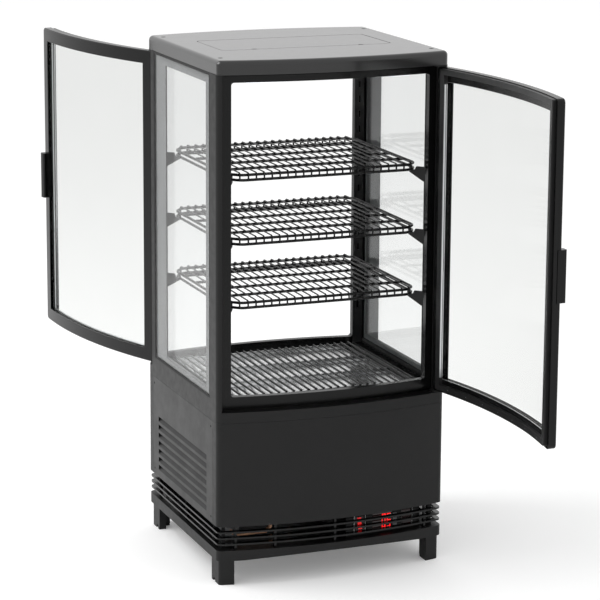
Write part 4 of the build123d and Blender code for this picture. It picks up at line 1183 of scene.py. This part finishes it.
@dataclass
class CornerLights:
    """Slim upright light strips on the side glass, just behind the front corners."""

    glass_x: float = 197.3 * MM
    near_y: float = -145.5 * MM
    width: float = 5.0 * MM
    depth: float = 1.6 * MM
    low: float = 334.0 * MM
    high: float = 878.0 * MM
    bevel: float = 0.4 * MM

    def build(self) -> bmesh.types.BMesh:
        """Makes both strips with softly rounded edges."""
        bm = bmesh.new()
        low = Vector((self.glass_x - self.depth, self.near_y, self.low))
        slab(bm, low, Vector((self.glass_x, self.near_y + self.width, self.high)), bevel=self.bevel)
        bmesh.ops.mirror(bm, geom=bm.verts[:] + bm.edges[:] + bm.faces[:], axis="X", merge_dist=-1.0)
        return bm

    def dress(self) -> None:
        """Puts the strips in the cabinet."""
        place(self.build(), "corner_light_strips", DIFFUSER, "cabinet")


@dataclass
class Studio:
    """Pale floor, soft light and the camera at the photograph's angle."""

    azimuth: float = 21.6136
    pitch: float = 11.6942
    roll: float = 0.3667
    place: tuple[float, float, float] = (-1.6147, -4.1041, 1.4778)
    focal_pixels: float = 2507.97
    frame_pixels: float = 600.0
    shift: float = -0.10
    sky: float = 0.9
    floor_lift: float = 0.16
    floor_radius: float = 30.0
    floor_tone: float = 0.94
    floor_roughness: float = 0.9
    floor_specular: float = 0.1
    sensor: float = 36.0
    far: float = 200.0
    aim: tuple[float, float, float] = (0.0, 0.0, 0.45)
    key_place: tuple[float, float, float] = (-2.2, 0.6, 2.6)
    key_size: float = 1.8
    key_power: float = 45.0

    def world(self) -> None:
        """Sets a plain white surround that lights evenly and shows white behind the object."""
        world = bpy.data.worlds.new("white_surround")
        bpy.context.scene.world = world
        world.use_nodes = True
        tree = world.node_tree
        back = tree.nodes["Background"]
        back.inputs["Color"].default_value = (1.0, 1.0, 1.0, 1.0)
        back.inputs["Strength"].default_value = self.sky
        shown = tree.nodes.new("ShaderNodeBackground")
        shown.inputs["Strength"].default_value = 1.0
        path = tree.nodes.new("ShaderNodeLightPath")
        either = tree.nodes.new("ShaderNodeMath")
        either.operation = "MAXIMUM"
        mix = tree.nodes.new("ShaderNodeMixShader")
        tree.links.new(path.outputs["Is Camera Ray"], either.inputs[0])
        tree.links.new(path.outputs["Is Transmission Ray"], either.inputs[1])
        tree.links.new(either.outputs[0], mix.inputs[0])
        tree.links.new(back.outputs[0], mix.inputs[1])
        tree.links.new(shown.outputs[0], mix.inputs[2])
        tree.links.new(mix.outputs[0], tree.nodes["World Output"].inputs["Surface"])

    def floor(self) -> None:
        """Lays the pale floor under the object."""
        bm = bmesh.new()
        bmesh.ops.create_circle(bm, cap_ends=True, radius=self.floor_radius, segments=64)
        mesh = bpy.data.meshes.new("studio_floor")
        bm.to_mesh(mesh)
        bm.free()
        floor = bpy.data.objects.new("studio_floor", mesh)
        pale = bpy.data.materials.new("pale_floor")
        pale.use_nodes = True
        shader = pale.node_tree.nodes["Principled BSDF"]
        tone = self.floor_tone
        shader.inputs["Base Color"].default_value = (tone, tone, tone, 1.0)
        shader.inputs["Roughness"].default_value = self.floor_roughness
        shader.inputs["Specular IOR Level"].default_value = self.floor_specular
        path = pale.node_tree.nodes.new("ShaderNodeLightPath")
        lift = pale.node_tree.nodes.new("ShaderNodeMath")
        lift.operation = "MULTIPLY"
        lift.inputs[1].default_value = self.floor_lift
        shader.inputs["Emission Color"].default_value = (1.0, 1.0, 1.0, 1.0)
        pale.node_tree.links.new(path.outputs["Is Camera Ray"], lift.inputs[0])
        pale.node_tree.links.new(lift.outputs[0], shader.inputs["Emission Strength"])
        floor.data.materials.append(pale)
        bpy.context.scene.collection.objects.link(floor)
        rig.stage(floor)

    def lamp(self, name: str, where: Vector, size: float, power: float) -> None:
        """Hangs one soft square lamp that points at the object.

        Args:
            name: The lamp's name.
            where: Its place.
            size: The side of its square.
            power: Its power in watts.
        """
        light = bpy.data.lights.new(name, "AREA")
        light.shape = "SQUARE"
        light.size = size
        light.energy = power
        lamp = bpy.data.objects.new(name, light)
        turn = (Vector(self.aim) - where).to_track_quat("-Z", "Y").to_matrix().to_4x4()
        lamp.matrix_world = Matrix.Translation(where) @ turn
        bpy.context.scene.collection.objects.link(lamp)

    def camera(self) -> None:
        """Sets the camera at the photograph's place, angle and length."""
        a, t, r = (math.radians(v) for v in (self.azimuth, self.pitch, self.roll))
        look = Vector((math.sin(a) * math.cos(t), math.cos(a) * math.cos(t), -math.sin(t)))
        right = Vector((math.cos(a), -math.sin(a), 0.0))
        up = right.cross(look)
        right, up = right * math.cos(r) + up * math.sin(r), up * math.cos(r) - right * math.sin(r)
        data = bpy.data.cameras.new("camera")
        data.sensor_width = self.sensor
        data.lens = self.focal_pixels / self.frame_pixels * data.sensor_width
        data.shift_y = self.shift
        data.clip_end = self.far
        camera = bpy.data.objects.new("camera", data)
        turn = Matrix((right, up, -look)).transposed().to_4x4()
        camera.matrix_world = Matrix.Translation(self.place) @ turn
        bpy.context.scene.collection.objects.link(camera)
        bpy.context.scene.camera = camera

    def build(self) -> None:
        """Sets up the whole studio."""
        bpy.context.scene.view_settings.view_transform = "Standard"
        self.world()
        self.floor()
        self.lamp("key_light", Vector(self.key_place), self.key_size, self.key_power)
        self.camera()


def write_sizes(before: object) -> None:
    boxes = {"cad": [list(corner) for corner in before], "visual": [list(corner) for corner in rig.bounds()]}
    with open("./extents.json", "w") as file:
        json.dump(boxes, file)


def main() -> None:
    """Builds the scene: the frame, each sub-assembly's dress and the studio."""
    logging.basicConfig(level=logging.INFO, format="%(message)s")
    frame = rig.load()
    cad_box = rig.bounds()
    record = frame["record"]
    slots = {part["node"]: part["material_slot"] for part in record["subparts"]}
    outline = Outline()
    CadDress(frame["nodes"], slots).dress()
    log.info("dressed %d CAD nodes", len(frame["nodes"]))
    for name, level in SHELF_LEVELS.items():
        Shelf(name, level).dress()
        log.info("built %s", name)
    FloorRack().dress()
    log.info("built the floor rack")
    for rear in (False, True):
        DoorTrim(outline, rear).dress()
    log.info("built the doors' trim")
    HatchCover(frame["nodes"]["hatch"]).dress()
    PaneBorders().dress()
    log.info("built the hatch and the panes' borders")
    CornerLights().dress()
    Controls(outline).dress()
    SmallHardware(outline).dress()
    log.info("built the controls and the hardware")
    Studio().build()
    write_sizes(cad_box)


if __name__ == "__main__":
    main()
